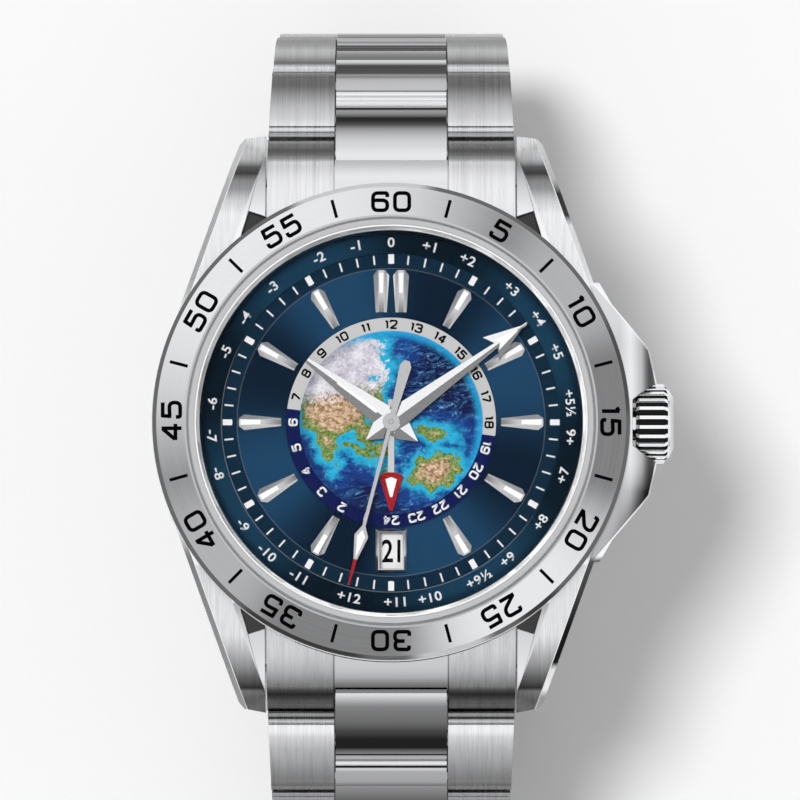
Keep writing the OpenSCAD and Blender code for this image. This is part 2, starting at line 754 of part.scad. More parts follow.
module pallet_fork() {
  a = atan2(to_balance[1], to_balance[0]);
  color(steel) put(pallet_c, 4.68, a) union() {
    linear_extrude(0.17) union() {
      circle(r = 0.35);
      translate([0, -0.12]) square([1.9, 0.24]);
      difference() {
        translate([1.8, -0.3]) square([0.65, 0.6]);
        translate([2, -0.13]) square([1, 0.26]);
      }
      for (s = [-1, 1]) rotate(s * 118) translate([0, -0.12]) square([1.35, 0.24]);
    }
    translate([0, 0, -0.35]) cylinder(h = 1.6, r = 0.1);
  }
}

module balance_wheel() {
  color(gilt) put(balance_c, 0) union() {
    ring(balance_r, balance_r - 0.45, 3.95, 4.35);
    translate([-balance_r + 0.2, -0.25, 4.05]) cube([2 * balance_r - 0.4, 0.5, 0.2]);
    disc(0.5, 3.95, 4.42);
    disc(0.12, bridge_z + 0.2, plate_top - 0.1);
    disc(0.8, 4.35, 4.55);
    rotate([0, 0, atan2(-to_balance[1], -to_balance[0])]) disc(0.07, 4.5, 4.85, [0.62, 0]);
  }
}

module hairspring() {
  n = 6 * 14;
  color("steelblue") put(balance_c, train_z + 0.08) linear_extrude(0.2)
    polygon(concat([for (i = [0:n]) at(0.45 + 1.9 * i / n, i * 360 / 14)],
      [for (i = [n:-1:0]) at(0.45 + 1.9 * i / n + 0.08, i * 360 / 14)]));
}

module minute_wheel() {
  color(gilt) put(minute_c, 0) difference() {
    union() {
      put([0, 0], 6.35, 300 + 6) gear(30, motion_mod, 0.2, 0);
      put([0, 0], 6.5, 300 + 22.5) gear(8, motion_mod, 0.38, 0);
      put([0, 0], 6.86, 300) gear(6, 2 * motion_arm / 54, 0.3, 0);
    }
    disc(0.1 + run_gap, 0, 9);
  }
}

module hour_wheel() {
  color(gilt) difference() {
    union() {
      put([0, 0], 6.62, 120) gear(32, motion_mod, 0.2, 0);
      disc(0.72, 6.62, 8.5);
    }
    disc(0.45 + run_gap, 0, 20);
  }
}

module gmt_wheel() {
  color(gilt) difference() {
    union() {
      put([0, 0], 6.92, 120 + 180 / 48) gear(48, 2 * motion_arm / 54, 0.2, 0);
      disc(0.98, 6.92, 8.16);
    }
    disc(0.72 + run_gap, 0, 20);
  }
}

module date_ring() {
  r_out = plate_r - 0.45;
  color("white") translate([0, 0, 7]) linear_extrude(0.25) difference() {
    circle(r = r_out);
    polygon([for (i = [0:30]) for (p = [[0, 9.3], [3, 9.3], [4, 8.9], [7.6, 8.9]])
      at(p[1], i * 360 / 31 + p[0])]);
  }
}

module rotor() {
  color(steel) difference() {
    union() {
      intersection() {
        union() {
          disc(rotor_r, 1.75, 2.1);
          ring(rotor_r, rotor_r - 2.2, 1.55, 2.6);
        }
        translate([-20, -20, 0]) cube([40, 20.5, 8]);
      }
      disc(2.2, 1.65, 2.4);
    }
    disc(0.8 + run_gap, 0, 5);
    for (a = [-150, -120, -60, -30]) rotate([0, 0, a]) translate([6.3, 0, 0]) cylinder(h = 5, r = 1.4);
  }
}

bridge_screw_spots = [for (a = [5, 60, 120]) at(plate_r - 0.55, a)];
train_screw_spots = [for (a = [165, 195, 300, 320]) at(plate_r - 0.55, a)];
cock_screw_spots = [for (a = [226, 244]) at(plate_r - 0.55, a)];
screw_spots = concat(bridge_screw_spots, train_screw_spots, cock_screw_spots);
train_jewels = [third_c, escape_c];

module half_plane(d, side) {
  rotate(60) translate([side > 0 ? d : -40 + d, -20]) square([40, 40]);
}

module cock_plan(grow = 0) {
  intersection() {
    circle(r = plate_r);
    translate(balance_c) rotate(235) translate([-1.6 - grow, -2.6 - grow])
      square([12, 5.2 + 2 * grow]);
  }
}

module screw_holes(spots) {
  for (p = spots) {
    disc(0.5, bridge_z - 1, bridge_z + 0.3, p);
    disc(0.28, 0, 9, p);
  }
}

module main_plate() {
  color(gilt) difference() {
    union() {
      disc(plate_r, plate_z, plate_top);
      ring(plate_r, rim_in_r, train_z, plate_z);
      ring(plate_r, plate_r - 1.2, plate_top, 6.95);
      ring(plate_r, plate_r - 0.4, plate_top, dial_z);
      disc(0.09, plate_top - 0.3, 7.2, minute_c);
      disc(0.55, 4.72, plate_z, [-0.95, -6.87]);
    }
    disc(0.5, 0, 9);
    disc(0.5 + run_gap, 0, 9, barrel_c);
    for (c = concat(train_jewels, [pallet_c, balance_c])) disc(0.5, 0, 9, c);
    for (p = screw_spots) disc(0.28, 0, 5, p);
    rod_x(0.55, 0, 20, crown_z);
  }
}

module barrel_bridge() {
  color(steel) difference() {
    translate([0, 0, bridge_z]) linear_extrude(bridge_t) intersection() {
      circle(r = plate_r);
      half_plane(1.15, 1);
    }
    disc(ratchet_teeth * keyless_mod / 2 + 0.25, 0, bridge_z + 0.5, barrel_c);
    disc(crown_wheel_r + 0.2, 0, bridge_z + 0.5, crown_wheel_c);
    disc(crown_wheel_r - 0.05, 0, 9, crown_wheel_c);
    disc(0.9 + run_gap, 0, 9, barrel_c);
    screw_holes(bridge_screw_spots);
  }
}

module train_bridge() {
  color(steel) difference() {
    translate([0, 0, bridge_z]) linear_extrude(bridge_t) difference() {
      intersection() {
        circle(r = plate_r);
        half_plane(0.85, -1);
      }
      translate(balance_c) circle(r = 5);
      translate(balance_c) rotate(235) translate([0, -4.4]) square([12, 8.8]);
    }
    for (c = train_jewels) disc(0.5, 0, 9, c);
    disc(0.2 + run_gap, 3.1, 9);
    screw_holes(train_screw_spots);
  }
  // Fixed stud that carries the rotor
  color(steel) union() {
    disc(0.8, 1.55, bridge_z);
    disc(1.3, 1.4, 1.6);
  }
}

module balance_cock() {
  color(steel) difference() {
    translate([0, 0, bridge_z]) linear_extrude(bridge_t) cock_plan();
    disc(0.5, 0, 9, balance_c);
    screw_holes(cock_screw_spots);
  }
}

// A jewel is a ruby ring in a plate or a bridge
module jewel(c, z, hole_r) {
  translate([c[0], c[1], 0]) ring(0.5, hole_r + run_gap, z, z + 0.4);
}

module jewels() {
  color(ruby) union() {
    for (c = train_jewels) jewel(c, bridge_z + 0.2, 0.1);
    for (c = train_jewels) jewel(c, plate_z + 0.1, 0.1);
    jewel(balance_c, bridge_z + 0.2, 0.12);
    jewel(balance_c, plate_z + 0.1, 0.12);
    jewel(pallet_c, plate_z + 0.1, 0.1);
  }
}

module bridge_screws() {
  color("steelblue") for (p = screw_spots) difference() {
    union() {
      disc(0.48, bridge_z, bridge_z + 0.28, p);
      disc(0.26, bridge_z, 4.8, p);
    }
    translate([p[0] - 0.6, p[1] - 0.07, bridge_z - 0.1]) cube([1.2, 0.14, 0.22]);
  }
}

// A two-facet hand on its hub, drawn along +Y and then turned to its angle
module hand(w, h_top, hub_r, hub_h, bore_r, z, angle) {
  translate([0, 0, z]) rotate([0, 0, -angle]) difference() {
    union() {
      intersection() {
        linear_extrude(1) children();
        roof(w, 0.08, h_top, 0.02, -20, 20);
      }
      cylinder(h = hub_h, r = hub_r);
    }
    translate([0, 0, -1]) cylinder(h = 3, r = bore_r);
  }
}

module hour_hand() {
  w = 2.1;
  color(steel) hand(w + 0.1, 0.3, 0.98, 0.2, 0.72, 8.26, hour_angle)
    polygon([[-w / 2, 0.9], [-0.22, hour_len], [0.22, hour_len], [w / 2, 0.9], [0.9, -1.3],
      [0.05, -2.85], [-0.05, -2.85], [-0.9, -1.3]]);
}

module minute_hand() {
  w = 1.86;
  head = minute_len - 3.9;
  color(steel) hand(2.6, 0.34, 0.8, 0.22, 0.45, 8.62, minute_angle) union() {
    polygon([[-w / 2, 1.2], [-0.22, head + 0.9], [0.22, head + 0.9], [w / 2, 1.2], [0.86, -1.3],
      [0.05, -2.66], [-0.05, -2.66], [-0.86, -1.3]]);
    polygon([[0, head + 0.65], [-1.25, head], [-0.1, head + 3.3], [-0.06, minute_len], [0.06, minute_len],
      [0.1, head + 3.3], [1.25, head]]);
  }
}

module seconds_hand() {
  color(steel) union() {
    translate([0, 0, 9.05]) rotate([0, 0, -seconds_angle]) linear_extrude(0.14) difference() {
      union() {
        polygon([[-0.17, 0], [-0.15, 9.4], [-0.62, 10.3], [-0.15, 12.5], [-0.06, seconds_len],
          [0.06, seconds_len], [0.15, 12.5], [0.62, 10.3], [0.15, 9.4], [0.17, 0], [0.25, -0.6],
          [0.52, -5], [0.25, -5.5], [-0.25, -5.5], [-0.52, -5], [-0.25, -0.6]]);
        circle(r = 0.74);
      }
      circle(r = 0.2);
    }
    translate([0, 0, 9.19]) ring(0.74, 0.2, 0, 0.14);
  }
}

module gmt_hand() {
  head = gmt_len - 3;
  color("firebrick") translate([0, 0, 8]) rotate([0, 0, -gmt_angle]) linear_extrude(0.15) difference() {
    union() {
      translate([-0.28, -2]) square([0.56, head + 1.9]);
      polygon([[-0.55, head - 0.33], [0.55, head - 0.33], [1.04, head], [0.12, gmt_len], [-0.12, gmt_len],
        [-1.04, head]]);
      circle(r = 1.35);
    }
    circle(r = 0.98);
  }
}

module winding_stem() {
  color(steel) union() {
    rod_x(0.5, 6.4, 16, crown_z);
    rod_x(0.74, 15.5, case_r + 1.7, crown_z);
    rod_x(0.8, 8.8, 9.9, crown_z);
  }
}

module crown() {
  x0 = case_r + 0.5;
  rim = crown_len - 0.55;
  color(steel) difference() {
    translate([x0, 0, crown_z]) rotate([0, 90, 0]) union() {
      difference() {
        union() {
          cylinder(h = 0.3, r1 = crown_r - 0.3, r2 = crown_r);
          translate([0, 0, 0.3]) cylinder(h = rim - 0.6, r = crown_r);
          translate([0, 0, rim - 0.3]) cylinder(h = 0.3, r1 = crown_r, r2 = crown_r - 0.3);
        }
        for (i = [0:crown_flutes - 1]) rotate([0, 0, 360 / crown_flutes * i])
          translate([crown_r, 0, -1]) cylinder(h = crown_len + 2, r = 0.27);
      }
      translate([0, 0, rim - 0.1]) cylinder(h = 0.3, r1 = crown_r - 0.4, r2 = crown_r - 0.5);
      translate([0, 0, rim + 0.2]) cylinder(h = 0.35, r1 = crown_r - 0.5, r2 = crown_r - 1.1);
    }
    rod_x(tube_r + 0.1, x0 - 1, x0 + 1, crown_z);
    rod_x(0.74, x0, x0 + 1.2, crown_z);
  }
}

module setting_lever() {
  color(steel) difference() {
    translate([10.3, -1.6, crown_z - 0.8]) cube([0.3, 2.4, 1.5]);
    rod_x(0.5 + run_gap, 10, 12, crown_z);
  }
}

case_middle();
crystal();
crystal_gasket();
case_back();
back_window();
crown_tube();
movement_ring();
spring_bars();
end_link_12();
end_link_6();
bezel_wire();
dial();
chapter_ring();
hour_markers();
date_frame();
globe_disc();
main_plate();
barrel_bridge();
train_bridge();
balance_cock();
jewels();
bridge_screws();
hairspring();
bezel();
hour_hand();
minute_hand();
seconds_hand();
gmt_hand();
barrel();
mainspring();
ratchet_wheel();
crown_wheel();
centre_wheel();
third_wheel();
fourth_wheel();
escape_wheel();
pallet_fork();
balance_wheel();
minute_wheel();
hour_wheel();
gmt_wheel();
date_ring();
rotor();
winding_stem();
crown();
setting_lever();
link_12(0);  // link_12_1
link_12(1);  // link_12_2
link_12(2);  // link_12_3
link_12(3);  // link_12_4
link_12(4);  // link_12_5
link_6(0);  // link_6_1
link_6(1);  // link_6_2
link_6(2);  // link_6_3
link_6(3);  // link_6_4
link_6(4);  // link_6_5
link_6(5);  // link_6_6
clasp_inner_blade();
clasp_middle_blade();
clasp_cover();
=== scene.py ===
# %% [markdown]
# # A mechanical wristwatch
# The watch stands on its closed bracelet with the dial up, as in the photo. Its solids come
# packed from the CAD model. This lesson gives them steel, lacquer, print and lume, adds the
# thin printed and inlaid pieces, and builds a small studio round them.
# Lengths are in millimetres unless a name says otherwise.

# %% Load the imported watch
import json
from math import cos, pi, radians, sin

import bmesh
import bpy
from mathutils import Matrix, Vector


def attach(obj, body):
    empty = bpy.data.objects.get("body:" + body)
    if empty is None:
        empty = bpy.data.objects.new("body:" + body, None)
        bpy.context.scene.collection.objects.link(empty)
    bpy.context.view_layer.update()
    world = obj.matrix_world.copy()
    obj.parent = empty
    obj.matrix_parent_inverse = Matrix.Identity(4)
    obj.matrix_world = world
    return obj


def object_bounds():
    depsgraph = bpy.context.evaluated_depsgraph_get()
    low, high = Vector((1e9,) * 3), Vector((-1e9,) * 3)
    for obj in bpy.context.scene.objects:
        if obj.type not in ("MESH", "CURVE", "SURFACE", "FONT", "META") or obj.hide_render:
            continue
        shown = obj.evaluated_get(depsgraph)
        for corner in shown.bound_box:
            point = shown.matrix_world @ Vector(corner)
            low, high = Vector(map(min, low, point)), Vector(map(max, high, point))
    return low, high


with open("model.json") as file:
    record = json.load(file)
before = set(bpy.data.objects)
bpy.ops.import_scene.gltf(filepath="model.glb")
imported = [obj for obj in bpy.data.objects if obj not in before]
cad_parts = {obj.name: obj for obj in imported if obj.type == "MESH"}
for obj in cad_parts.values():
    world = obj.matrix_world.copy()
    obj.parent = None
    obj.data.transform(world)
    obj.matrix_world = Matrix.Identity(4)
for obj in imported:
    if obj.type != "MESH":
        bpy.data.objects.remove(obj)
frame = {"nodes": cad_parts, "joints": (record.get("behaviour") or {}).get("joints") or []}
MM = 0.001
start_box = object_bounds()
nodes = frame["nodes"]

# %% [markdown]
# ## Camera
# The photo looks straight down on the dial, from a touch below 6 o'clock, through a long
# lens. A camera could be moved until the picture fits, but three measures give it at once:
# one millimetre on the bezel covers 11.5 of the 800 pixels, the axis of the hands lies at
# pixel 391, 421, and the edges of the links on both sides give the tilt.

# %% Camera
PHOTO, PX = 800, 11.5
AXIS_X, AXIS_Y = 391.1, 420.8
BEZEL_PLANE = 10.7
TILT = radians(2.8)
DISTANCE, SENSOR = 560.0, 36


def put(name, data):
    """A new object in the scene."""
    obj = bpy.data.objects.new(name, data)
    bpy.context.scene.collection.objects.link(obj)
    return obj


cam = bpy.data.cameras.new("camera")
cam.sensor_width = SENSOR
cam.lens = SENSOR * DISTANCE / (PHOTO / PX)
cam.clip_end = 20  # metres, well past the floor's edge
camera = put("camera", cam)
aim = Vector(((PHOTO / 2 - AXIS_X) / PX, (AXIS_Y - PHOTO / 2) / PX, BEZEL_PLANE))
camera.location = (aim + Vector((0, -sin(TILT), cos(TILT))) * DISTANCE) * MM
camera.rotation_euler = (TILT, 0, 0)
bpy.context.scene.camera = camera
print("camera", [round(v, 4) for v in camera.location], "lens", round(cam.lens, 1))

# %% [markdown]
# ## Shader maths
# Every finish here follows a rule such as a radius, an angle or a distance across a brushed
# face. Such rules read best as arithmetic, so one small class wraps a socket and lets it be
# added and multiplied, and another holds a material with its object's own coordinates.

# %% A socket that can be added and multiplied


class Val:
    def __init__(self, shade, sock):
        self.shade, self.sock = shade, sock

    def __add__(self, o): return self.shade.math("ADD", self, o)
    def __sub__(self, o): return self.shade.math("SUBTRACT", self, o)
    def __rsub__(self, o): return self.shade.math("SUBTRACT", o, self)
    def __mul__(self, o): return self.shade.math("MULTIPLY", self, o)
    __radd__, __rmul__ = __add__, __mul__


def towards(a, b, mask):
    """a where the mask is 0, b where it is 1."""
    return a + (b - a) * mask


# %% A material with its object's coordinates


class Shade:
    """A material whose x, y and z are the object's coordinates in millimetres."""

    def __init__(self, name, color, metal, rough, **fixed):
        self.mat = bpy.data.materials.new(name)
        self.mat.use_nodes = True
        self.tree = self.mat.node_tree
        self.bsdf = self.tree.nodes["Principled BSDF"]
        spot = self.value("Object", "TexCoord", {})
        self.at = self.value(0, "VectorMath", {0: spot, "Scale": 1 / MM}, operation="SCALE")
        self.split(self.at)
        self.set(Base_Color=color, Metallic=metal, Roughness=rough, **fixed)

    def split(self, vec):
        axes = self.node("SeparateXYZ", {0: vec})
        self.x, self.y, self.z = (Val(self, o) for o in axes.outputs)

    def node(self, kind, sockets, **settings):
        """Any node: its settings come first, then the values or links of its sockets."""
        n = self.tree.nodes.new("ShaderNode" + kind)
        for key, value in settings.items():
            setattr(n, key, value)
        for key, value in sockets.items():
            self.link(value, n.inputs[key])
        return n

    def value(self, out, kind, sockets, **settings):
        """One output of a new node, by its name or its number."""
        return Val(self, self.node(kind, sockets, **settings).outputs[out])

    def link(self, source, socket):
        if isinstance(source, Val):
            self.tree.links.new(source.sock, socket)
        elif isinstance(source, tuple) and len(socket.default_value) == 4:
            socket.default_value = (*source, 1.0)
        else:
            socket.default_value = source

    def math(self, op, a, b=None, clamp=False):
        given = {i: v for i, v in enumerate((a, b)) if v is not None}
        return self.value(0, "Math", given, operation=op, use_clamp=clamp)

    def smooth(self, v, low, high):
        """0 at low, 1 at high and smooth between; low may be the larger one."""
        flip = low > high
        ends = {"From Min": min(low, high), "From Max": max(low, high),
                "To Min": float(flip), "To Max": float(not flip)}
        return self.value("Result", "MapRange", {"Value": v, **ends},
                          interpolation_type="SMOOTHSTEP")

    def band(self, v, low, high, soft=0.02):
        """1 between low and high, 0 outside."""
        return self.smooth(v, low - soft, low + soft) * self.smooth(v, high + soft, high - soft)

    def profile(self, v, points):
        """A tone that runs straight from one (place, tone) point to the next."""
        total = points[0][1]
        for (a, low), (b, high) in zip(points, points[1:]):
            ends = {"From Min": a, "From Max": b, "To Min": 0.0, "To Max": high - low}
            total = self.value("Result", "MapRange", {"Value": v, **ends}) + total
        return total

    def mix(self, fac, a, b):
        return self.value(2, "Mix", {0: fac, 6: a, 7: b}, data_type="RGBA")

    def vec(self, x, y, z):
        return self.value(0, "CombineXYZ", {0: x, 1: y, 2: z})

    def noise(self, vec, scale=1.0, detail=2.0, rough=0.5, warp=0.0):
        return self.value(0, "TexNoise", {"Vector": vec, "Scale": scale, "Detail": detail,
                                          "Roughness": rough, "Distortion": warp})

    def grain(self, scale, detail=3.0):
        """Noise that is alike in all directions."""
        return self.noise(self.at, scale, detail)

    def root(self, v): return self.math("SQRT", v)

    def abs(self, v): return self.math("ABSOLUTE", v)

    def most(self, a, b): return self.math("MAXIMUM", a, b)

    def radius(self):
        """Distance from the axis of the hands."""
        return self.root(self.x * self.x + self.y * self.y)

    def clock(self):
        """Angle clockwise from 12, in turns from -0.5 to 0.5."""
        return self.math("ARCTAN2", self.x, self.y) * (0.5 / pi)

    def lobes(self, count, peak):
        """A wave round the dial with this many crests, one of them at the angle peak."""
        return self.math("COSINE", self.clock() * (2 * pi * count) - radians(peak) * count)

    def facing(self):
        """How far the surface faces up: 1 where it is level, 0 where it is upright."""
        return self.value("Z", "SeparateXYZ", {0: self.value("Normal", "NewGeometry", {})})

    def steel(self, v):
        """The colour of steel that throws back this share of the light."""
        return self.vec(v, v * 1.006, v * 1.014)

    def edges(self, width, bump=None, strength=0.0, depth=0.0):
        """Rounds the look of sharp edges, with an optional fine relief on top."""
        normal = self.value(0, "Bevel", {"Radius": width * MM}, samples=4)
        if bump is not None:
            normal = self.value(0, "Bump", {"Strength": strength, "Distance": depth * MM,
                                            "Height": bump, "Normal": normal})
        return self.set(Normal=normal)

    def set(self, **values):
        for key, v in values.items():
            self.link(v, self.bsdf.inputs[key.replace("_", " ")])
        return self


def grey(v):
    """A grey with a touch of blue, as steel has."""
    return (v, v * 1.0075, v * 1.015)


STEEL, MIRROR = grey(0.66), grey(0.84)
mats = {}  # a node's own finish goes by the node's name


def keep(name, shade):
    """Keeps a finish and tells how many shader nodes it takes."""
    mats[name] = shade
    print(name, len(shade.tree.nodes), "shader nodes")


print("steel", STEEL)

# %% [markdown]
# ## Polished steel
# Chamfers, flanks, hands, markers and the clasp's blades are polished on a soft wheel, which
# leaves a mirror with a little smear. A flat colour would look like plastic, so a low noise
# moves the roughness, and the Bevel node rounds every edge enough to catch a thin highlight.

# %% Polished steel


def polished(name, tone=MIRROR, rough=0.11):
    s = Shade(name, tone, 1.0, rough)
    smear = s.grain(0.9)
    s.set(Roughness=smear * 0.08 + (rough - 0.04),
          Base_Color=s.mix(smear, tuple(c * 0.93 for c in tone), tone))
    return s.edges(0.08)


mats["polished"] = polished("polished_steel")
mats["blades"] = polished("blade_steel", grey(0.72), 0.18)
print("polished", sorted(mats))

# %% [markdown]
# ## Brushed steel
# The outer links, the end links and the lug tops are drawn over an abrasive belt, which cuts
# fine lines along the bracelet. An anisotropic shader would need the surface's direction
# everywhere. Noise that is stretched along the lines gives the same streaks in the colour,
# the roughness and a shallow relief.

# %% Brush marks
STREAKS = 0.62  # how much the marks vary the tone


def brush_marks(s, across, along):
    """About -0.4 to 0.4: fine marks, and wider streaks that run further."""
    fine = s.noise(s.vec(across * 13.0, along * 0.3, 0.0), 1.0, 3.0, 0.68) - 0.5
    wide = s.noise(s.vec(across * 3.2, along * 0.12, 3.0)) - 0.5
    return fine + wide * 0.7


# %% [markdown]
# ### Links
# Every link is rounded along the bracelet, so its mirrored light runs from white to almost
# black between one joint and the next. Lamps could only do that for one link at a time. Each
# link therefore carries its own painted reflection and shade, a run of tone from pin to pin,
# and the pins' places are read from the model's joints.

# %% Tones of the links
# Painted reflection and shade, for the first link of each side and for the later ones: outer
# pieces, then the centre one
PAINTED_RUNS = {
    ("12", True): (
        [(0.05, 0.3), (0.2, 0.38), (0.28, 0.8), (0.41, 0.6), (0.58, 0.48), (0.75, 0.33),
         (0.88, 0.2)],
        [(-0.215, 0.02), (-0.195, 0.86), (0.08, 0.58), (0.18, 0.42), (0.24, 0.28), (0.29, 0.1),
         (0.35, 0.035), (0.4, 0.03), (0.48, 0.45), (0.52, 0.55), (0.535, 0.02), (0.555, 0.02),
         (0.575, 0.8)]),
    ("12", False): (
        [(0.0, 0.4), (0.25, 0.8), (0.31, 0.16), (0.44, 0.42), (0.53, 0.48), (0.66, 0.28),
         (0.85, 0.12)],
        [(-0.38, 0.88), (-0.22, 0.6), (-0.07, 0.42), (0.0, 0.08), (0.13, 0.04), (0.19, 0.55),
         (0.23, 0.75), (0.26, 0.1)]),
    ("6", True): (
        [(0.15, 0.35), (0.22, 0.2), (0.27, 0.5), (0.33, 0.82), (0.4, 0.8), (0.46, 0.6),
         (0.6, 0.44), (0.85, 0.28), (1.0, 0.2)],
        [(-0.11, 0.85), (-0.03, 0.53), (0.04, 0.3), (0.08, 0.21), (0.27, 0.14), (0.37, 0.06),
         (0.48, 0.015), (0.6, 0.015), (0.7, 0.3), (0.8, 0.75)]),
    ("6", False): (
        [(0.0, 0.7), (0.12, 0.3), (0.5, 0.45), (0.9, 0.15)],
        [(-0.16, 0.85), (-0.13, 0.38), (-0.05, 0.34), (0.14, 0.22), (0.4, 0.12), (0.6, 0.03)]),
}
print("runs of tone", len(PAINTED_RUNS) * 2)

# %% Links
CENTRE_HALF = 4.94  # the centre piece reaches this far to both sides


def link_steel(name, place, outer_painted_run, centre_painted_run):
    """Brushed outer pieces beside polished centre ones, with painted reflection and shade along the
    link.
    """
    s = Shade(name, STEEL, 1.0, 0.3)
    lines = brush_marks(s, s.x, s.y + s.z)
    outer = s.smooth(s.abs(s.x), CENTRE_HALF - 0.02, CENTRE_HALF + 0.02)
    at = place(s)
    brushed = s.profile(at, outer_painted_run) * (lines * STREAKS + 1.0)
    tone = towards(s.profile(at, centre_painted_run), brushed, outer)
    s.set(Base_Color=s.steel(tone), Roughness=outer * (lines * 0.2 + 0.2) + 0.09)
    return s.edges(0.07, lines * outer, 0.14, 0.02)


def along(near, far):
    """Where a point lies between two pins: 0 at the near one, 1 at the far one."""
    way = (far - near) / (far - near).length_squared
    return lambda s: (s.y - near.y) * way.y + (s.z - near.z) * way.z


pins = {j["name"]: Vector(j["pos_m"]) / MM for j in frame["joints"]
        if j["name"].startswith("pin_")}
LAST_STEP = Vector((0, 2.0, -7.0))  # the last link has no further pin
for name in [n for n in nodes if n.startswith("link_")]:
    side, count = name.split("_")[1:]
    near = pins[f"pin_{side}_{count}"]
    far = pins.get(f"pin_{side}_{int(count) + 1}", near + LAST_STEP)
    mats[name] = link_steel(name + "_steel", along(near, far), *PAINTED_RUNS[side, count == "1"])
print("links", sum(n.startswith("link_") for n in mats))

# %% [markdown]
# ### End links and clasp
# The end links fill the gap between the lugs. They are one piece each, brushed outside and
# polished in the middle, and they turn down steeply before the first pin, so their painted
# reflection and shade follow the height. The clasp's cover is brushed like the links but lies
# flat, with an even tone.

# %% End links and clasp
# Painted reflection and shade of the end links, by height; the clasp cover has an even tone
PAINTED_BY_HEIGHT = {
    "end_link_12": (
        [(3.7, 0.28), (4.1, 0.19), (4.7, 0.07), (5.3, 0.15), (5.7, 0.34), (6.0, 0.86), (7.2, 0.8)],
        [(6.0, 0.95), (6.8, 0.9), (7.2, 0.76)]),
    "end_link_6": (
        [(3.8, 0.13), (4.2, 0.16), (4.7, 0.05), (5.2, 0.015), (5.6, 0.08), (5.9, 0.27), (6.9, 0.45),
         (7.6, 0.58)],
        [(5.8, 0.22), (6.2, 0.36), (6.5, 0.5), (7.1, 0.56)]),
    "clasp_cover": ([(-33.0, 0.6), (-20.0, 0.6)],) * 2,
}
for name, runs in PAINTED_BY_HEIGHT.items():
    mats[name] = link_steel(name + "_steel", lambda s: s.z, *runs)
print("toned by height", sorted(PAINTED_BY_HEIGHT))

# %% [markdown]
# ### Case
# Only the lug tops are brushed. The flanks, the crown guards, the chamfer outside each lug
# top and the lowered step along its inner edge are polished, and the pocket between lug and
# bezel is painted dark as shade. Height and direction tell the faces apart, so no face needs
# picking. Like the links, each face has its own run of tone, painted reflection and shade.

# %% Tones of the case
# Painted reflection and shade of the lug tops at 12 and at 6, from the bezel out
PAINTED_LUG_TOPS = ([(18.2, 0.8), (19.4, 0.58), (20.4, 0.28), (21.1, 0.23), (21.8, 0.045), (22.4, 0.1),
         (23.1, 0.5), (23.8, 0.72)],
        [(18.6, 0.72), (19.8, 0.5), (20.6, 0.36), (21.3, 0.26), (22.2, 0.12), (23.2, 0.03),
         (23.5, 0.2), (24.5, 0.14)])
# Painted reflection and shade of the steps beside the end links, at 12 and at 6
PAINTED_STEPS = ([(16.5, 0.9), (18.0, 0.86), (21.0, 0.55), (22.3, 0.35)],
         [(16.3, 0.42), (17.2, 0.58), (20.0, 0.68), (23.0, 0.8)])
# Painted light and shade of the chamfers, on the left, where they face the light,
# and on the right
PAINTED_LEFT_CHAMFER = ([(12.0, 0.45), (24.0, 0.55)], [(12.0, 0.26), (20.0, 0.36), (23.0, 0.3)])
PAINTED_RIGHT_CHAMFER = ([(17.2, 0.85), (18.1, 0.05), (20.0, 0.04), (21.2, 0.5), (24.5, 0.6)],
         [(12.0, 0.1), (15.0, 0.06), (18.0, 0.01), (21.0, 0.01), (21.6, 0.9), (23.3, 0.85),
          (24.0, 0.3)])
# Painted reflection and shade of the flanks and of the guards' slope, by height, and the
# slope's painted shade along y
PAINTED_FLANK = [(0.3, 0.16), (2.0, 0.26), (4.0, 0.46), (6.2, 0.54), (8.6, 0.36)]
PAINTED_GUARD = [(6.8, 0.15), (7.0, 0.28), (7.3, 0.62), (7.6, 0.72), (7.9, 0.84), (8.3, 0.62)]
PAINTED_GUARD_SHADE = [(-11.0, 0.0), (-6.0, 0.06), (-3.5, 0.8), (0.0, 1.0), (4.0, 1.0), (7.0, 0.85),
               (9.0, 1.25)]
print("tones by height", len(PAINTED_FLANK), "on the flanks", len(PAINTED_GUARD), "on the guards")

# %% Crown guards
# The guards' outer edge: a point on each stretch, and the direction that points out of it
GUARD_EDGE = [(23.3, 3.4, 0.974, 0.227), (22.6, 6.4, 0.781, 0.625), (22.0, 7.15, 0.759, 0.651)]


def guard_tone(s, side_y):
    """Painted shade on the guards' slope, and a painted highlight line along its outer edge."""
    # Painted shade, darker towards 6 and towards the outer edge
    shade_along_y = s.profile(s.y, PAINTED_GUARD_SHADE)
    edge_shade_lift = s.smooth(s.x * 0.94 - s.y * 0.34, 23.2, 21.0) * 0.7
    tone = s.profile(s.z, PAINTED_GUARD) * towards(shade_along_y, 1.0, edge_shade_lift)
    end, slant, long = ((s.x - x) * nx + (side_y - y) * ny for x, y, nx, ny in GUARD_EDGE)
    rim = s.smooth(s.most(s.most(end, slant), long), -0.15, -0.1)
    return towards(tone, 0.9, rim)


# %% Case
BEZEL_SEAT = 9.0
# A lug top is brushed outside this slanting line, and polished inside it
STEP_SLOPE, STEP_AT = 0.37, 19.6
# The chamfer outside each lug top leans by LUG_LEAN and starts this far out
LUG_LEAN, CHAMFER_AT = radians(19.8), 20.35


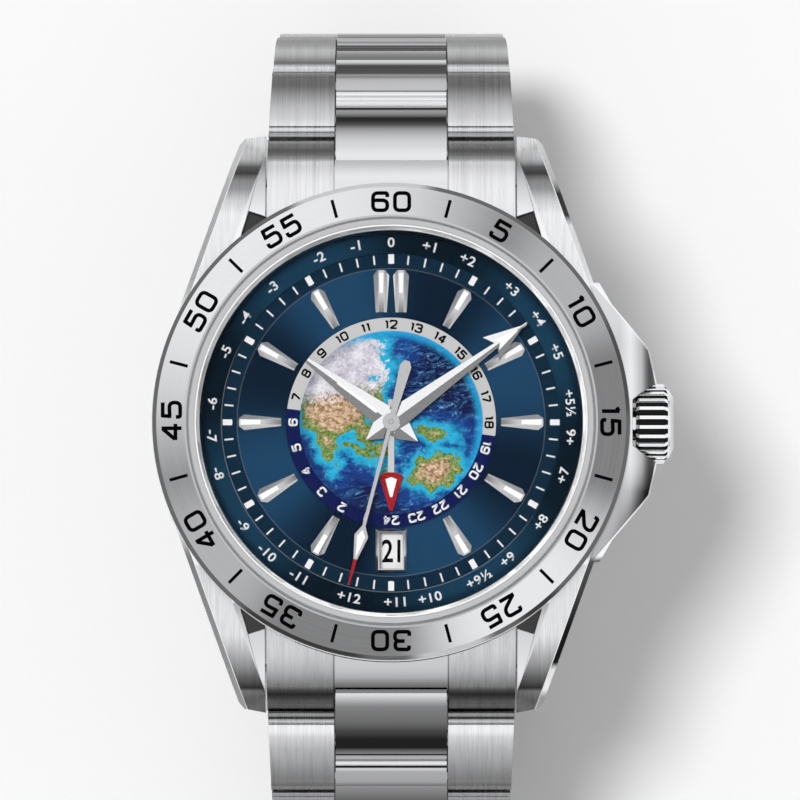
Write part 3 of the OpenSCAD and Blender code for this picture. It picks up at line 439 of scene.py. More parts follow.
def case_steel():
    s = Shade("case_steel", MIRROR, 1.0, 0.12)
    lines = brush_marks(s, s.x, s.y)
    side_x, side_y, facing = s.abs(s.x), s.abs(s.y), s.facing()
    up = s.smooth(facing, 0.3, 0.4)
    to_12, right = s.smooth(s.y, -1.0, 1.0), s.smooth(s.x, -1.0, 1.0)

    def by_end(tones):
        at_12, at_6 = (s.profile(side_y, t) for t in tones)
        return at_12 * to_12 + at_6 * (1.0 - to_12)

    # The runs of tone on each face below are painted reflection and shade
    smear = s.noise(s.vec(s.x * 0.35, s.y * 0.35, s.z * 0.8)) - 0.5
    flank = s.smooth(s.abs(facing), 0.35, 0.15) * s.smooth(s.radius(), 18.8, 19.0)
    tone = towards(MIRROR[0], s.profile(s.z + smear * 0.4, PAINTED_FLANK), flank)
    low = s.smooth(s.z, BEZEL_SEAT, BEZEL_SEAT - 0.4)
    outside = s.smooth(side_x + side_y * STEP_SLOPE, STEP_AT, STEP_AT + 0.15)
    top = up * s.smooth(side_y, 12.3, 12.6) * low * outside
    tone = towards(tone, by_end(PAINTED_LUG_TOPS) * (lines * STREAKS + 1.0), top)
    step = up * s.smooth(side_y, 15.6, 15.9) * (1.0 - outside) * low
    tone = towards(tone, by_end(PAINTED_STEPS), step)
    # The chamfer's painted light and shade, and a painted highlight line where it meets the lug top
    out = side_x * cos(LUG_LEAN) + side_y * sin(LUG_LEAN)
    lug = up * s.smooth(side_y, 9.5, 12.0)
    chamfer = towards(by_end(PAINTED_LEFT_CHAMFER), by_end(PAINTED_RIGHT_CHAMFER), right)
    tone = towards(tone, chamfer, lug * s.smooth(out, CHAMFER_AT - 0.02, CHAMFER_AT + 0.03))
    tone = towards(tone, 0.93, lug * s.band(out, CHAMFER_AT - 0.06, CHAMFER_AT, 0.03))
    guard = s.smooth(s.x, 16.0, 16.8) * s.smooth(side_y, 12.2, 11.6) * up
    tone = towards(tone, guard_tone(s, side_y), guard)
    seat = s.smooth(s.radius(), 18.0, 17.9) * s.smooth(s.z, BEZEL_SEAT, BEZEL_SEAT + 0.2)
    tone = towards(tone, 0.52, seat)
    # The pocket is painted dark as shade
    pocket_shade = s.band(side_x, 10.0, 13.7) * s.band(side_y, 13.0, 18.6) * s.smooth(s.z, 7.4, 7.2)
    s.set(Base_Color=s.steel(towards(tone, 0.05, pocket_shade)),
          Roughness=top * (lines * 0.16 + 0.17) + 0.11)
    return s.edges(0.1, lines * top, 0.1, 0.02)


keep("case_middle", case_steel())

# %% [markdown]
# ### Bezel
# The bezel is turned on a lathe, so its marks run round it. A ring brushed that way throws
# light in fans that stay put round the circle: two broad ones and two faint ones between.
# Here the fans are painted reflections, waves of the angle. Both chamfers are polished, and
# the outer one is painted nearly black as a dark reflection, with a few painted lighter
# stretches.

# %% Bezel
# The brushed face lies between these radii
FACE_IN, FACE_OUT = 17.98, 20.45
# Painted reflections on the outer chamfer: from one clock angle to another, the change of tone
PAINTED_GLINTS = [(-173, -142, -0.09), (66, 88, -0.06), (136, 147, -0.09), (156, 174, 0.42),
             (-24, 9, 0.45)]


def fan(s, centre, half):
    """1 at a clock angle, falling softly to 0 this many degrees away on both sides."""
    return s.smooth(s.lobes(1, centre), cos(radians(half)), 1.0)


def bezel_steel():
    s = Shade("bezel_steel", STEEL, 1.0, 0.3)
    r, angle = s.radius(), s.clock() * 360.0
    lines = s.noise(s.vec(r * 12.0, s.clock() * 5.0, 0.0), 1.0, 3.0, 0.65) - 0.5
    # Painted fans of reflected light on the brushed face
    broad = fan(s, -37.5, 78) + fan(s, 142.5, 38)
    painted_fans = broad + (fan(s, 52.5, 22) + fan(s, -127.5, 24)) * 0.38
    top = s.band(r, FACE_IN, FACE_OUT - 0.02, 0.015) * s.smooth(s.z, 10.2, 10.4)
    # The outer chamfer is painted dark as a reflection, with painted lighter stretches
    edge = 0.13
    for start, end, change in PAINTED_GLINTS:
        edge = edge + s.band(angle, start, end, 3.0) * change
    tone = 0.58 + (painted_fans * 0.56 + lines * 0.12 - 0.37) * top
    rim = s.smooth(r, FACE_OUT - 0.05, FACE_OUT + 0.01)
    s.set(Base_Color=s.steel(towards(tone, edge, rim)),
          Roughness=top * (lines * 0.14 + 0.2) + 0.09)
    return s.edges(0.05, lines * top, 0.07, 0.02)


keep("bezel", bezel_steel())

# %% [markdown]
# ### Crown
# The crown's 26 flutes are cut and painted dark as shade, while the lands between them are
# polished. The angle round the crown's own axis, which lies along X, tells the two apart.

# %% Crown
FLUTES, CROWN_Z = 26, 4.6


def crown_steel():
    s = Shade("crown_steel", MIRROR, 1.0, 0.1)
    dz = s.z - CROWN_Z
    out = s.root(s.y * s.y + dz * dz)
    wave = s.math("COSINE", s.math("ARCTAN2", s.y, dz) * float(FLUTES))
    fluted = s.band(out, 3.05, 3.46, 0.015) * s.band(s.x, 21.3, 24.22)
    flute_shade = s.smooth(wave, -0.3, -0.1) * fluted
    grain = s.noise(s.vec(s.x * 0.4, s.y, s.z), 3.0, 3.0)
    # The cap's end is painted darker as a reflection
    painted_cap_dark = s.smooth(s.x, 24.15, 24.7) * 0.6
    lands = s.mix(painted_cap_dark, s.mix(grain, grey(0.86), grey(0.95)), grey(0.3))
    s.set(Base_Color=s.mix(flute_shade, lands, grey(0.012)), Roughness=grain * 0.06 + 0.07)
    return s.edges(0.03)


keep("crown", crown_steel())

# %% [markdown]
# ## Hands and markers
# The hour hand and the minute hand are low roofs, with one side of the ridge mirror bright
# and the other satin and painted darker as shade, so that they read at a glance. The side is
# the sign of the distance across the hand, measured in the hand's own coordinates, so it
# turns with the hand.

# %% Hour and minute hands
HOUR, MINUTE, SECOND, ZONE = 306.3, 53.9, 194.6, 180.0


def hand_steel(name, angle, shaded_side):
    s = Shade(name, grey(0.88), 1.0, 0.14)
    a = radians(angle)
    across = (s.x * cos(a) - s.y * sin(a)) * shaded_side
    slope = s.smooth(s.facing(), 0.996, 0.988)
    satin_and_shade = s.smooth(across, -0.02, 0.02) * slope
    grain = s.grain(5.0)
    # The satin side is painted dark as shade
    bright, shaded_tone = s.mix(grain, grey(0.8), grey(0.9)), s.mix(grain, grey(0.19), grey(0.27))
    s.set(Base_Color=s.mix(satin_and_shade, bright, shaded_tone), Roughness=satin_and_shade * 0.12 + grain * 0.06 + 0.1)
    return s.edges(0.03)


mats["hour_hand"] = hand_steel("hour_steel", HOUR, -1)
mats["minute_hand"] = hand_steel("minute_steel", MINUTE, 1)
print("hands at", HOUR, MINUTE, SECOND, ZONE)

# %% Markers, 24 hour hand and seconds hand


def marker_steel():
    """The flat top is painted darker inwards, where it has no lume, as a painted reflection."""
    s = Shade("marker_steel", grey(0.86), 1.0, 0.14)
    r = s.radius()
    flat = s.smooth(s.facing(), 0.97, 0.99) * s.smooth(r, 13.4, 13.3)
    grain = s.grain(5.0)
    tone = s.mix(s.smooth(r, 9.4, 11.6), grey(0.2), grey(0.58))
    s.set(Base_Color=s.mix(flat, s.mix(grain, grey(0.8), grey(0.9)), tone),
          Roughness=grain * 0.06 + 0.1)
    return s.edges(0.04)


def zone_hand():
    """A steel stem with a red lacquered arrow."""
    s = Shade("zone_hand", grey(0.75), 1.0, 0.18, Specular_IOR_Level=0.15)
    red = s.smooth(s.y, -4.37, -4.41)
    grain = s.grain(6.0)
    stem = s.mix(grain, grey(0.54), grey(0.62))
    arrow = s.mix(grain, (0.31, 0.003, 0.005), (0.39, 0.005, 0.008))
    s.set(Base_Color=s.mix(red, stem, arrow), Metallic=1.0 - red, Roughness=grain * 0.06 + 0.2)
    return s.edges(0.03)


def second_hand():
    """Fine satin, with the end of its pin set in the middle of the hub."""
    s = Shade("second_steel", grey(0.5), 1.0, 0.2)
    grain = s.grain(6.0)
    pin = s.band(s.radius(), 0.1, 0.22)
    s.set(Base_Color=s.mix(pin, s.mix(grain, grey(0.46), grey(0.54)), grey(0.06)),
          Roughness=grain * 0.08 + 0.16)
    return s.edges(0.03)


mats["markers"] = marker_steel()
mats["gmt_hand"], mats["seconds_hand"] = zone_hand(), second_hand()
print("finishes", len(mats))

# %% [markdown]
# ## Dial
# The dial is brushed from its centre and sprayed with clear blue, so fans of light stand in
# the blue; here they are painted reflections. Four broad painted fans are a wave of the
# angle, and fine rays are a noise that changes with the angle alone. The track, its circles
# and the two halves of the 24 hour ring are printed flat. Printing them by radius and angle
# keeps their edges sharp at any zoom.

# %% Blue lacquer


def fans_of_blue(s, low, high, peak=67.5):
    """Blue lacquer over brushed metal: four broad painted fans of light and many fine rays."""
    turn = s.clock() * (2 * pi)
    ring = s.vec(s.math("COSINE", turn), s.math("SINE", turn), 0.0)
    rays = s.noise(ring, 34.0, 4.0, 0.7) - 0.5
    painted_fans = s.smooth(s.lobes(4, peak), -1.0, 1.0)
    return s.mix(s.math("ADD", painted_fans + rays * 0.55, 0.0, clamp=True), low, high), rays


# %% Dial
TRACK_IN, TRACK_OUT = 13.46, 14.8
RING_IN, RING_OUT = 7.9, 9.17
# Angles from 12 at which the day half ends: at 6:30 on the left, at 18:30 on the right
DAY_LEFT, DAY_RIGHT = 82.5, 97.5


def ticks_of(s, r, count, half, low, high):
    """Evenly spaced strokes, twice as wide as half, between two radii."""
    step = s.clock() * float(count)
    off = s.abs(step - s.math("ROUND", step)) * r * (2 * pi / count)
    return s.smooth(off, half + 0.012, half - 0.012) * s.band(r, low, high)


def dial_lacquer():
    s = Shade("dial_lacquer", (0.01, 0.04, 0.09), 0.5, 0.34, Specular_IOR_Level=0.0)
    r = s.radius()
    blue, rays = fans_of_blue(s, (0.0025, 0.0105, 0.026), (0.011, 0.054, 0.12))
    ticks = s.most(ticks_of(s, r, 60, 0.075, 13.86, 14.64) * 0.9,
                   ticks_of(s, r, 12, 0.255, 13.9, 14.72))
    circle = s.band(r, TRACK_IN - 0.02, TRACK_IN + 0.02, 0.015) * 0.16
    track = s.band(r, TRACK_IN, TRACK_OUT)
    base = s.mix(track, blue, (0.0045, 0.022, 0.046))
    angle, right = s.abs(s.clock()) * 360.0, s.smooth(s.x, -0.01, 0.01)
    day = (s.smooth(angle, DAY_RIGHT + 0.1, DAY_RIGHT - 0.1) * right
           + s.smooth(angle, DAY_LEFT + 0.1, DAY_LEFT - 0.1) * (1.0 - right))
    on_ring = s.band(r, RING_IN, RING_OUT)
    ring = s.mix(day, (0.006, 0.011, 0.08), (0.57, 0.565, 0.56))
    colour = s.mix(s.most(ticks, circle), s.mix(on_ring, base, ring), (0.9, 0.9, 0.9))
    outline = s.band(r, RING_OUT, RING_OUT + 0.06, 0.012) * 0.8
    colour = s.mix(outline, colour, (0.001, 0.003, 0.012))
    flat = s.most(s.most(ticks, on_ring), track)
    s.set(Base_Color=colour, Metallic=(1.0 - flat) * 0.5,
          Roughness=flat * 0.15 + (rays * 0.2 + 0.32))
    return s


keep("dial", dial_lacquer())

# %% [markdown]
# ### Chapter ring
# The sloping ring outside the track is lacquered in the same blue, but it darkens towards
# the rim, where the bezel keeps the light out.

# %% Chapter ring


def chapter_lacquer():
    s = Shade("chapter_lacquer", (0.008, 0.03, 0.06), 0.25, 0.38, Specular_IOR_Level=0.0)
    r = s.radius()
    blue, rays = fans_of_blue(s, (0.0013, 0.007, 0.0145), (0.0082, 0.044, 0.086), 60)
    # Painted shade, darker towards the rim
    deep = s.smooth(r, 15.7, 16.6) * 0.6
    # The ring's inner rim catches a thin line of light at the lower left
    lit = s.smooth(s.y + s.x * 0.6, 2.0, -6.0)
    line = s.band(r, TRACK_OUT + 0.02, TRACK_OUT + 0.06, 0.012) * lit
    s.set(Base_Color=s.mix(line * 0.3, s.mix(deep, blue, (0.002, 0.005, 0.01)), grey(0.8)),
          Roughness=rays * 0.1 + 0.38)
    return s


keep("chapter_ring", chapter_lacquer())

# %% [markdown]
# ### Globe
# The disc in the middle shows the earth from space. A picture of it could be wrapped on, but
# a few soft ovals, roughened with noise, already make land masses with ragged coasts. The
# distance to the coast then colours shelf, deep sea, green shores and dry inland, and
# stretched noise lays cloud over them. The layout is our own.

# %% Land masses
# Each: centre x and y, half length, half width, turn in degrees
MASSES = [(-4.3, 4.4, 4.1, 2.4, 32), (-4.9, 1.2, 3.1, 2.5, 8), (-2.2, 1.9, 1.9, 1.3, 50),
          (-5.6, -1.9, 0.8, 1.7, 12), (-2.6, -0.7, 0.7, 1.5, 35), (-2.4, -2.8, 1.6, 0.35, -32),
          (-0.7, -2.2, 0.85, 0.6, 20), (3.4, -0.9, 1.3, 0.45, -12), (3.9, -4.2, 2.3, 1.6, 18),
          (-0.9, 3.3, 0.35, 1.1, -30), (6.9, -5.6, 0.9, 0.35, 60)]


def from_coast(s):
    """About how far inside the nearest oval a point lies; less than 0 is sea."""
    land = None
    for cx, cy, long, wide, turn in MASSES:
        dx, dy, c, q = s.x - cx, s.y - cy, cos(radians(turn)), sin(radians(turn))
        u, v = (dx * c + dy * q) * (1 / long), (dy * c - dx * q) * (1 / wide)
        spot = (1.0 - s.root(u * u + v * v)) * min(long, wide)
        land = spot if land is None else s.most(land, spot)
    return land


print("globe", len(MASSES), "land masses")

# %% Globe


def globe_print():
    s = Shade("globe_print", (0.1, 0.3, 0.6), 0.0, 0.3, Specular_IOR_Level=0.1)
    r = s.radius()
    at = s.vec(s.x, s.y, 4.2)
    ragged = s.noise(at, 0.9, 8.0, 0.62) - 0.5
    fine = s.noise(at, 2.4, 8.0, 0.68)
    grit = s.noise(at, 4.5, 8.0, 0.75, 0.8)
    loose = grit - 0.5
    coast = from_coast(s) + ragged * 2.4 + (fine - 0.5) * 0.5
    deep = s.mix(s.smooth(coast, -2.6, -0.7), (0.001, 0.003, 0.055), (0.002, 0.035, 0.22))
    sea = s.mix(s.smooth(coast + loose * 0.8, -0.9, -0.12), deep, (0.01, 0.42, 0.66))
    shore = s.mix(s.smooth(grit, 0.35, 0.65), (0.015, 0.085, 0.008), (0.3, 0.42, 0.09))
    dry = s.smooth(fine + loose * 0.8, 0.35, 0.65)
    inland = s.mix(dry, (0.26, 0.12, 0.04), (0.78, 0.58, 0.4))
    soil = s.mix(s.smooth(coast + loose * 1.2, 0.2, 1.0), shore, inland)
    snow = s.smooth(s.y + (fine - 0.5) * 4.0 + loose * 2.5 - s.x * 0.15, 2.3, 3.9)
    ice = s.mix(s.smooth(ragged + loose * 0.9, -0.25, 0.2), (0.42, 0.39, 0.5), (0.86, 0.85, 0.9))
    colour = s.mix(s.smooth(coast, -0.05, 0.05), sea, s.mix(snow * 0.95, soil, ice))
    # Cloud streaks over the sea, broken up by a finer swirl
    drift = s.vec(s.x * 0.55 + s.y * 0.25, s.y * 1.5 - s.x * 0.4, 9.0)
    cloud = s.noise(drift, 0.7, 12.0, 0.72, 2.2)
    swirl = s.noise(at, 1.6, 12.0, 0.74, 3.0)
    over_sea = s.smooth(coast, 0.3, -0.3)
    haze = s.smooth(cloud, 0.47, 0.62) * s.smooth(swirl, 0.42, 0.6) * over_sea * 0.75
    colour = s.mix(haze, colour, (0.06, 0.36, 0.72))
    white = s.smooth(cloud + swirl, 1.1, 1.32) * over_sea * 0.8
    colour = s.mix(white, colour, (0.55, 0.76, 0.93))
    # The left limb lies in shade, and the right one has a thin glow of air
    shade = s.smooth(r, 6.8, 8.0) * 0.45 * s.smooth(s.x, 2.0, -2.0)
    colour = s.mix(shade, colour, (0.002, 0.012, 0.06))
    glow = s.smooth(r, 7.1, 7.95) * s.smooth(s.x + s.y, 1.0, 6.0) * 0.7
    return s.set(Base_Color=s.mix(glow, colour, (0.01, 0.45, 0.85)))


keep("globe_disc", globe_print())

# %% [markdown]
# ## Prints and lume
# Paint, ink and lume have no direction, only a fine grain, so they share one recipe with
# their own colour. Lume is a coarser paste than ink, hence rougher.

# %% Prints and lume


def paint(name, tone, rough=0.5, **fixed):
    s = Shade(name, tone, 0.0, rough, **fixed)
    grain = s.grain(9.0, 2.0)
    return s.set(Base_Color=s.mix(grain, tuple(c * 0.93 for c in tone), tone),
                 Roughness=grain * 0.1 + (rough - 0.05))


mats.update({
    "white": paint("white_print", (0.92, 0.92, 0.92)),
    "lume": paint("lume_white", (0.97, 0.97, 0.96), 0.6),
    "ink": paint("black_ink", (0.002, 0.002, 0.0025), 0.6, Specular_IOR_Level=0.0),
    "red": paint("red_lacquer", (0.36, 0.004, 0.007), 0.3, Specular_IOR_Level=0.15),
    "date_ring": paint("date_white", (0.9, 0.9, 0.88)),
    "crystal_gasket": paint("gasket_white", (0.94, 0.94, 0.94), 0.35),
})
print("finishes", len(mats))

# %% [markdown]
# ## Inside the case
# The back is a window, so the movement shows. Its wheels are gilt, the bridges carry
# straight stripes from a slanted grinding wheel, the plate is covered with small round
# grains, the screws are blued by heat and the bearings are rubies. A sine of one slanted
# coordinate makes the stripes, and a nearly regular cell pattern spaces the grains.

# %% Wheels, bridges and plate


def gilt():
    """Gilt all over but for the steel arbor in the middle."""
    s = Shade("gilt_brass", (0.72, 0.52, 0.22), 1.0, 0.25)
    wear = s.grain(3.0, 4.0)
    arbor = s.smooth(s.radius(), 0.66, 0.62)
    brass = s.mix(wear, (0.62, 0.43, 0.17), (0.8, 0.6, 0.29))
    s.set(Base_Color=s.mix(arbor, brass, grey(0.5)), Roughness=wear * 0.2 + 0.16)
    return s.edges(0.03)


def striped():
    s = Shade("striped_bridge", (0.7, 0.7, 0.71), 1.0, 0.25)
    across, along = s.x * 0.78 + s.y * 0.62, s.y * 0.78 - s.x * 0.62
    wave = s.math("SINE", across * 2.6)
    grain = s.noise(s.vec(across * 9.0, along * 0.5, s.z)) - 0.5
    s.set(Base_Color=s.mix(wave * 0.5 + 0.5, grey(0.52), grey(0.8)),
          Roughness=wave * 0.08 + grain * 0.1 + 0.26)
    return s.edges(0.05, wave, 0.15, 0.03)


def grained_plate():
    s = Shade("grained_plate", grey(0.66), 1.0, 0.3)
    cells = {"Vector": s.vec(s.x, s.y, 0.0), "Scale": 1.25, "Randomness": 0.15}
    rings = s.math("SINE", s.value("Distance", "TexVoronoi", cells) * 60.0)
    s.set(Base_Color=s.mix(rings * 0.5 + 0.5, grey(0.55), grey(0.74)),
          Roughness=rings * 0.06 + 0.28)
    return s.edges(0.05)


mats["gilt"], mats["striped"], mats["main_plate"] = gilt(), striped(), grained_plate()
print("finishes", len(mats))

# %% Screws, bearings and rotor


def blued():
    s = Shade("blued_steel", (0.03, 0.07, 0.42), 1.0, 0.2)
    s.set(Base_Color=s.mix(s.grain(1.4, 2.0), (0.015, 0.03, 0.26), (0.05, 0.11, 0.55)))
    return s.edges(0.03)


def ruby():
    s = Shade("ruby", (0.62, 0.015, 0.12), 0.0, 0.08)
    return s.set(Base_Color=s.mix(s.grain(4.0, 2.0), (0.4, 0.005, 0.07), (0.75, 0.03, 0.18)))


mats["blued"], mats["jewels"] = blued(), ruby()
mats["movement_ring"] = polished("alloy", grey(0.58), 0.35)
mats["rotor"] = polished("tungsten", grey(0.4), 0.28)
print("finishes", len(mats))

# %% [markdown]
# ### Sapphire
# The crystal and the back window are clear sapphire with a coating against glare. Real
# refraction would need many bounces and bend nothing here, since both panes are flat, so a
# see-through shader is mixed with a mirror that grows with the fourth power of the slant.
# Fresnel on a thin pane would turn the inner face into a full mirror at low views.

# %% Sapphire


def sapphire():
    s = Shade("sapphire", (0.9, 0.94, 1.0), 0.0, 0.03)
    clear = s.value(0, "BsdfTransparent", {})
    gloss = s.value(0, "BsdfGlossy", {"Roughness": 0.03})
    slant = s.value("Facing", "LayerWeight", {"Blend": 0.5})
    dust = s.grain(6.0)
    part = slant * slant * slant * slant * (dust * 0.2 + 0.3) + 0.003
    both = s.value(0, "MixShader", {0: part, 1: clear, 2: gloss})
    s.link(both, s.tree.nodes["Material Output"].inputs["Surface"])
    return s


keep("sapphire", sapphire())

# %% [markdown]
# ## Dressing the solids
# Every solid of the model keeps its mesh and only changes its material. Those with a finish
# of their own find it by their name, several share one of the finishes listed here, and the
# others are plain polished steel.

# %% Dressing the solids
SHARED = {
    "sapphire": ("crystal", "back_window"),
    "markers": ("hour_markers", "date_frame"),
    "blades": ("clasp_inner_blade", "clasp_middle_blade"),
    "gilt": ("barrel", "centre_wheel", "third_wheel", "fourth_wheel", "balance_wheel",
             "minute_wheel", "hour_wheel", "gmt_wheel"),
    "blued": ("mainspring", "hairspring", "bridge_screws"),
    "striped": ("barrel_bridge", "train_bridge", "balance_cock"),
}
shared = {node: finish for finish, group in SHARED.items() for node in group}
for name, obj in nodes.items():
    mat = mats[shared.get(name, name if name in mats else "polished")].mat
    if not obj.material_slots:
        obj.data.materials.append(mat)
    for slot in obj.material_slots:
        slot.material = mat
print("dressed", len(nodes), "nodes")

# %% [markdown]
# ## Numerals
# Printed numerals are thin plates that follow the surface below them. Plain figures come
# from Blender's own font. Those of the bezel and the 24 hour ring are wide and nearly
# square, which no font at hand has, so they are drawn as strokes: a few corners joined by a
# line of even width.

# %% Flat shapes


def flat_mesh(curve):
    """A flat curve or text turned into a mesh."""
    holder = put("drawing", curve)
    bpy.context.view_layer.update()
    depsgraph = bpy.context.evaluated_depsgraph_get()
    mesh = bpy.data.meshes.new_from_object(holder.evaluated_get(depsgraph))
    bpy.data.objects.remove(holder)
    return mesh


def glyphs(text, height, stretch, bold, gap):
    """A short text in Blender's font, centred, of this height."""
    curve = bpy.data.curves.new("text", "FONT")
    curve.body, curve.size, curve.align_x = text, 1.0, "CENTER"
    curve.space_character, curve.offset, curve.resolution_u = gap, bold, 6
    mesh = flat_mesh(curve)
    ys, xs = [v.co.y for v in mesh.vertices], [v.co.x for v in mesh.vertices]
    k = height / (max(ys) - min(ys))
    mid_x, mid_y = (max(xs) + min(xs)) / 2, (max(ys) + min(ys)) / 2
    for v in mesh.vertices:
        v.co = ((v.co.x - mid_x) * k * stretch, (v.co.y - mid_y) * k, 0)
    return mesh


def plate(points):
    """A flat polygon."""
    mesh = bpy.data.meshes.new("plate")
    mesh.from_pydata([(x, y, 0) for x, y in points], [], [list(range(len(points)))])
    return mesh


def bar(w, h):
    return plate([(-w / 2, -h / 2), (w / 2, -h / 2), (w / 2, h / 2), (-w / 2, h / 2)])


# %% Stamping flat shapes round the dial
INK = 0.012  # how far a print stands up
CLEAR = 0.002  # its lower face stays clear of the surface by this much


def stamp(name, items, level, mat, body, thick=INK, curl=True):
    """Lays flat meshes round the dial: items are (mesh, radius, clock angle, flipped).

    level gives the height of the surface at a radius, and curl bends a shape round the dial.
    """
    bm = bmesh.new()
    for mesh, r, angle, flip in items:
        first = len(bm.verts)
        bm.from_mesh(mesh)
        bm.verts.ensure_lookup_table()
        for v in bm.verts[first:]:
            x, y = (-v.co.x, -v.co.y) if flip else (v.co.x, v.co.y)
            turn, off = (radians(angle) + x / r, 0) if curl else (radians(angle), x)
            y += r
            v.co = Vector((y * sin(turn) + off * cos(turn), y * cos(turn) - off * sin(turn), 0))
    found = bmesh.ops.extrude_face_region(bm, geom=bm.faces[:])
    top = {v for v in found["geom"] if isinstance(v, bmesh.types.BMVert)}
    for v in bm.verts:
        v.co.z = level(v.co.xy.length) + (thick if v in top else CLEAR)
        v.co *= MM
    bmesh.ops.recalc_face_normals(bm, faces=bm.faces[:])
    made = bpy.data.meshes.new(name)
    bm.to_mesh(made)
    bm.free()
    made.materials.append(mats[mat].mat)
    obj = put(name, made)
    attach(obj, body)


# %% [markdown]
# ### Bezel scale
# Each figure is a list of strokes in a box 1.25 mm wide and 1.53 mm high. A stroke's corners
# are rounded, and a short line swept along it gives the even width. Bars stand halfway
# between the numbers, and 60 stands at the top.

# %% Rounded strokes
WIDE, HIGH = 1.25, 1.53
CORNER, LONGEST = 0.44, 0.25  # a corner's radius, and the longest piece of a stroke


def rounded(corners, closed):
    """Points along a stroke with its corners rounded."""
    pts, n = [], len(corners)
    for i, p in enumerate(corners):
        p = Vector(p)
        if not closed and i in (0, n - 1):
            pts.append(p)
            continue
        a, b = Vector(corners[i - 1]) - p, Vector(corners[(i + 1) % n]) - p
        t = min(CORNER, a.length / 2, b.length / 2)
        p0, p2 = p + a.normalized() * t, p + b.normalized() * t
        pts += [p0 * (1 - k) ** 2 + p * (2 * k * (1 - k)) + p2 * k ** 2
                for k in (0, 0.17, 0.33, 0.5, 0.67, 0.83, 1)]
    out = []
    for p, q in zip(pts, pts[1:] + (pts[:1] if closed else [])):
        steps = max(1, round((q - p).length / LONGEST))
        out += [p.lerp(q, k / steps) for k in range(steps)]
    return out if closed else out + [pts[-1]]


# %% Strokes of the figures
# Heights of the cross strokes of 3 and 8, of 4, of 5, of 6 and of 9
MID, LOW_4, MID_5, MID_6, MID_9 = (HIGH * k for k in (0.53, 0.27, 0.6, 0.58, 0.42))
FIGURES = {
    "0": [[(0, 0), (WIDE, 0), (WIDE, HIGH), (0, HIGH)]],
    "1": [[(0.34, 0), (0.34, HIGH)], [(0.0, HIGH - 0.24), (0.34, HIGH - 0.04)]],
    "2": [[(0, HIGH - 0.36), (0, HIGH), (WIDE, HIGH), (WIDE, HIGH * 0.56), (0.0, 0.04)],
          [(-0.1, 0), (WIDE + 0.06, 0)]],
    "3": [[(0.02, HIGH - 0.34), (0.02, HIGH), (WIDE - 0.03, HIGH), (WIDE - 0.03, MID), (0.4, MID)],
          [(0.4, MID), (WIDE, MID), (WIDE, 0), (0, 0), (0, 0.36)]],
    "4": [[(WIDE * 0.7, HIGH), (-0.02, HIGH * 0.3)], [(-0.1, LOW_4), (WIDE + 0.06, LOW_4)],
          [(WIDE * 0.74, -0.12), (WIDE * 0.74, HIGH + 0.1)]],
    "5": [[(WIDE + 0.02, HIGH), (0.02, HIGH)], [(0.12, HIGH + 0.1), (0.05, HIGH * 0.5)],
          [(0.05, MID_5), (WIDE, HIGH * 0.63), (WIDE, 0), (0, 0), (0, 0.38)]],
    "6": [[(WIDE, HIGH - 0.36), (WIDE, HIGH), (0, HIGH), (0, 0), (WIDE, 0), (WIDE, MID_6),
           (0.04, MID_6)]],
    "7": [[(-0.05, HIGH), (WIDE, HIGH), (WIDE * 0.3, 0)]],
    "8": [[(0, 0), (WIDE, 0), (WIDE, MID), (0, MID)],
          [(0.05, MID), (WIDE - 0.05, MID), (WIDE - 0.05, HIGH), (0.05, HIGH)]],
    "9": [[(0, 0.36), (0, 0), (WIDE, 0), (WIDE, HIGH), (0, HIGH), (0, MID_9),
           (WIDE - 0.04, MID_9)]],
}
CLOSED = "08"  # the figures whose strokes run back to their start
ONE_WIDE = 0.44  # a 1 takes less room than the other figures
print("figures", len(FIGURES))

# %% Numbers from strokes


def figures(text, pen=0.33, size=1.0, narrow=1.0, gap=0.66):
    """The strokes of a number swept by a short line as wide as the pen, centred."""
    nib = bpy.data.curves.new("nib", "CURVE")
    edge = nib.splines.new("POLY")
    edge.points.add(1)
    edge.points[0].co, edge.points[1].co = (-pen / 2, 0, 0, 1), (pen / 2, 0, 0, 1)
    nib_obj = put("nib", nib)
    curve = bpy.data.curves.new("strokes", "CURVE")
    curve.dimensions, curve.fill_mode = "2D", "NONE"
    curve.bevel_mode, curve.bevel_object = "OBJECT", nib_obj
    widths = [ONE_WIDE if c == "1" else WIDE for c in text]
    left = -(sum(widths) + gap * (len(text) - 1)) / 2
    for c, w in zip(text, widths):
        for corners in FIGURES[c]:
            placed = [(x + left, y - HIGH / 2) for x, y in corners]
            pts = [p * size for p in rounded(placed, c in CLOSED)]
            line = curve.splines.new("POLY")
            line.points.add(len(pts) - 1)
            line.use_cyclic_u = c in CLOSED
            for spot, p in zip(line.points, pts):
                spot.co = (p.x * narrow, p.y, 0, 1)
        left += w + gap
    mesh = flat_mesh(curve)
    bpy.data.objects.remove(nib_obj)
    return mesh


# %% Bezel scale
FACE_LOW, FACE_RISE = 10.5, 0.45


def bezel_level(r):
    """Height of the bezel's sloped top face at a radius."""
    return FACE_LOW + (FACE_OUT - r) / (FACE_OUT - FACE_IN) * FACE_RISE


NUMBERS_AT, BARS_AT = 19.1, 19.12  # radii
marks = [(figures(str(m or 60)), NUMBERS_AT, m * 6, False) for m in range(0, 60, 5)]
marks += [(bar(0.28, 1.62), BARS_AT, 15 + 30 * i, False) for i in range(12)]
stamp("bezel_scale", marks, bezel_level, "ink", "bezel_body", 0.014, False)
print("bezel scale", len(marks), "marks")

# %% [markdown]
# ### Chapter ring figures
# The ring tells the hour in other places. It carries hour offsets from the home zone, spaced
# unevenly as in the photo. Below the middle they stand the other way up, so that they stay
# readable.

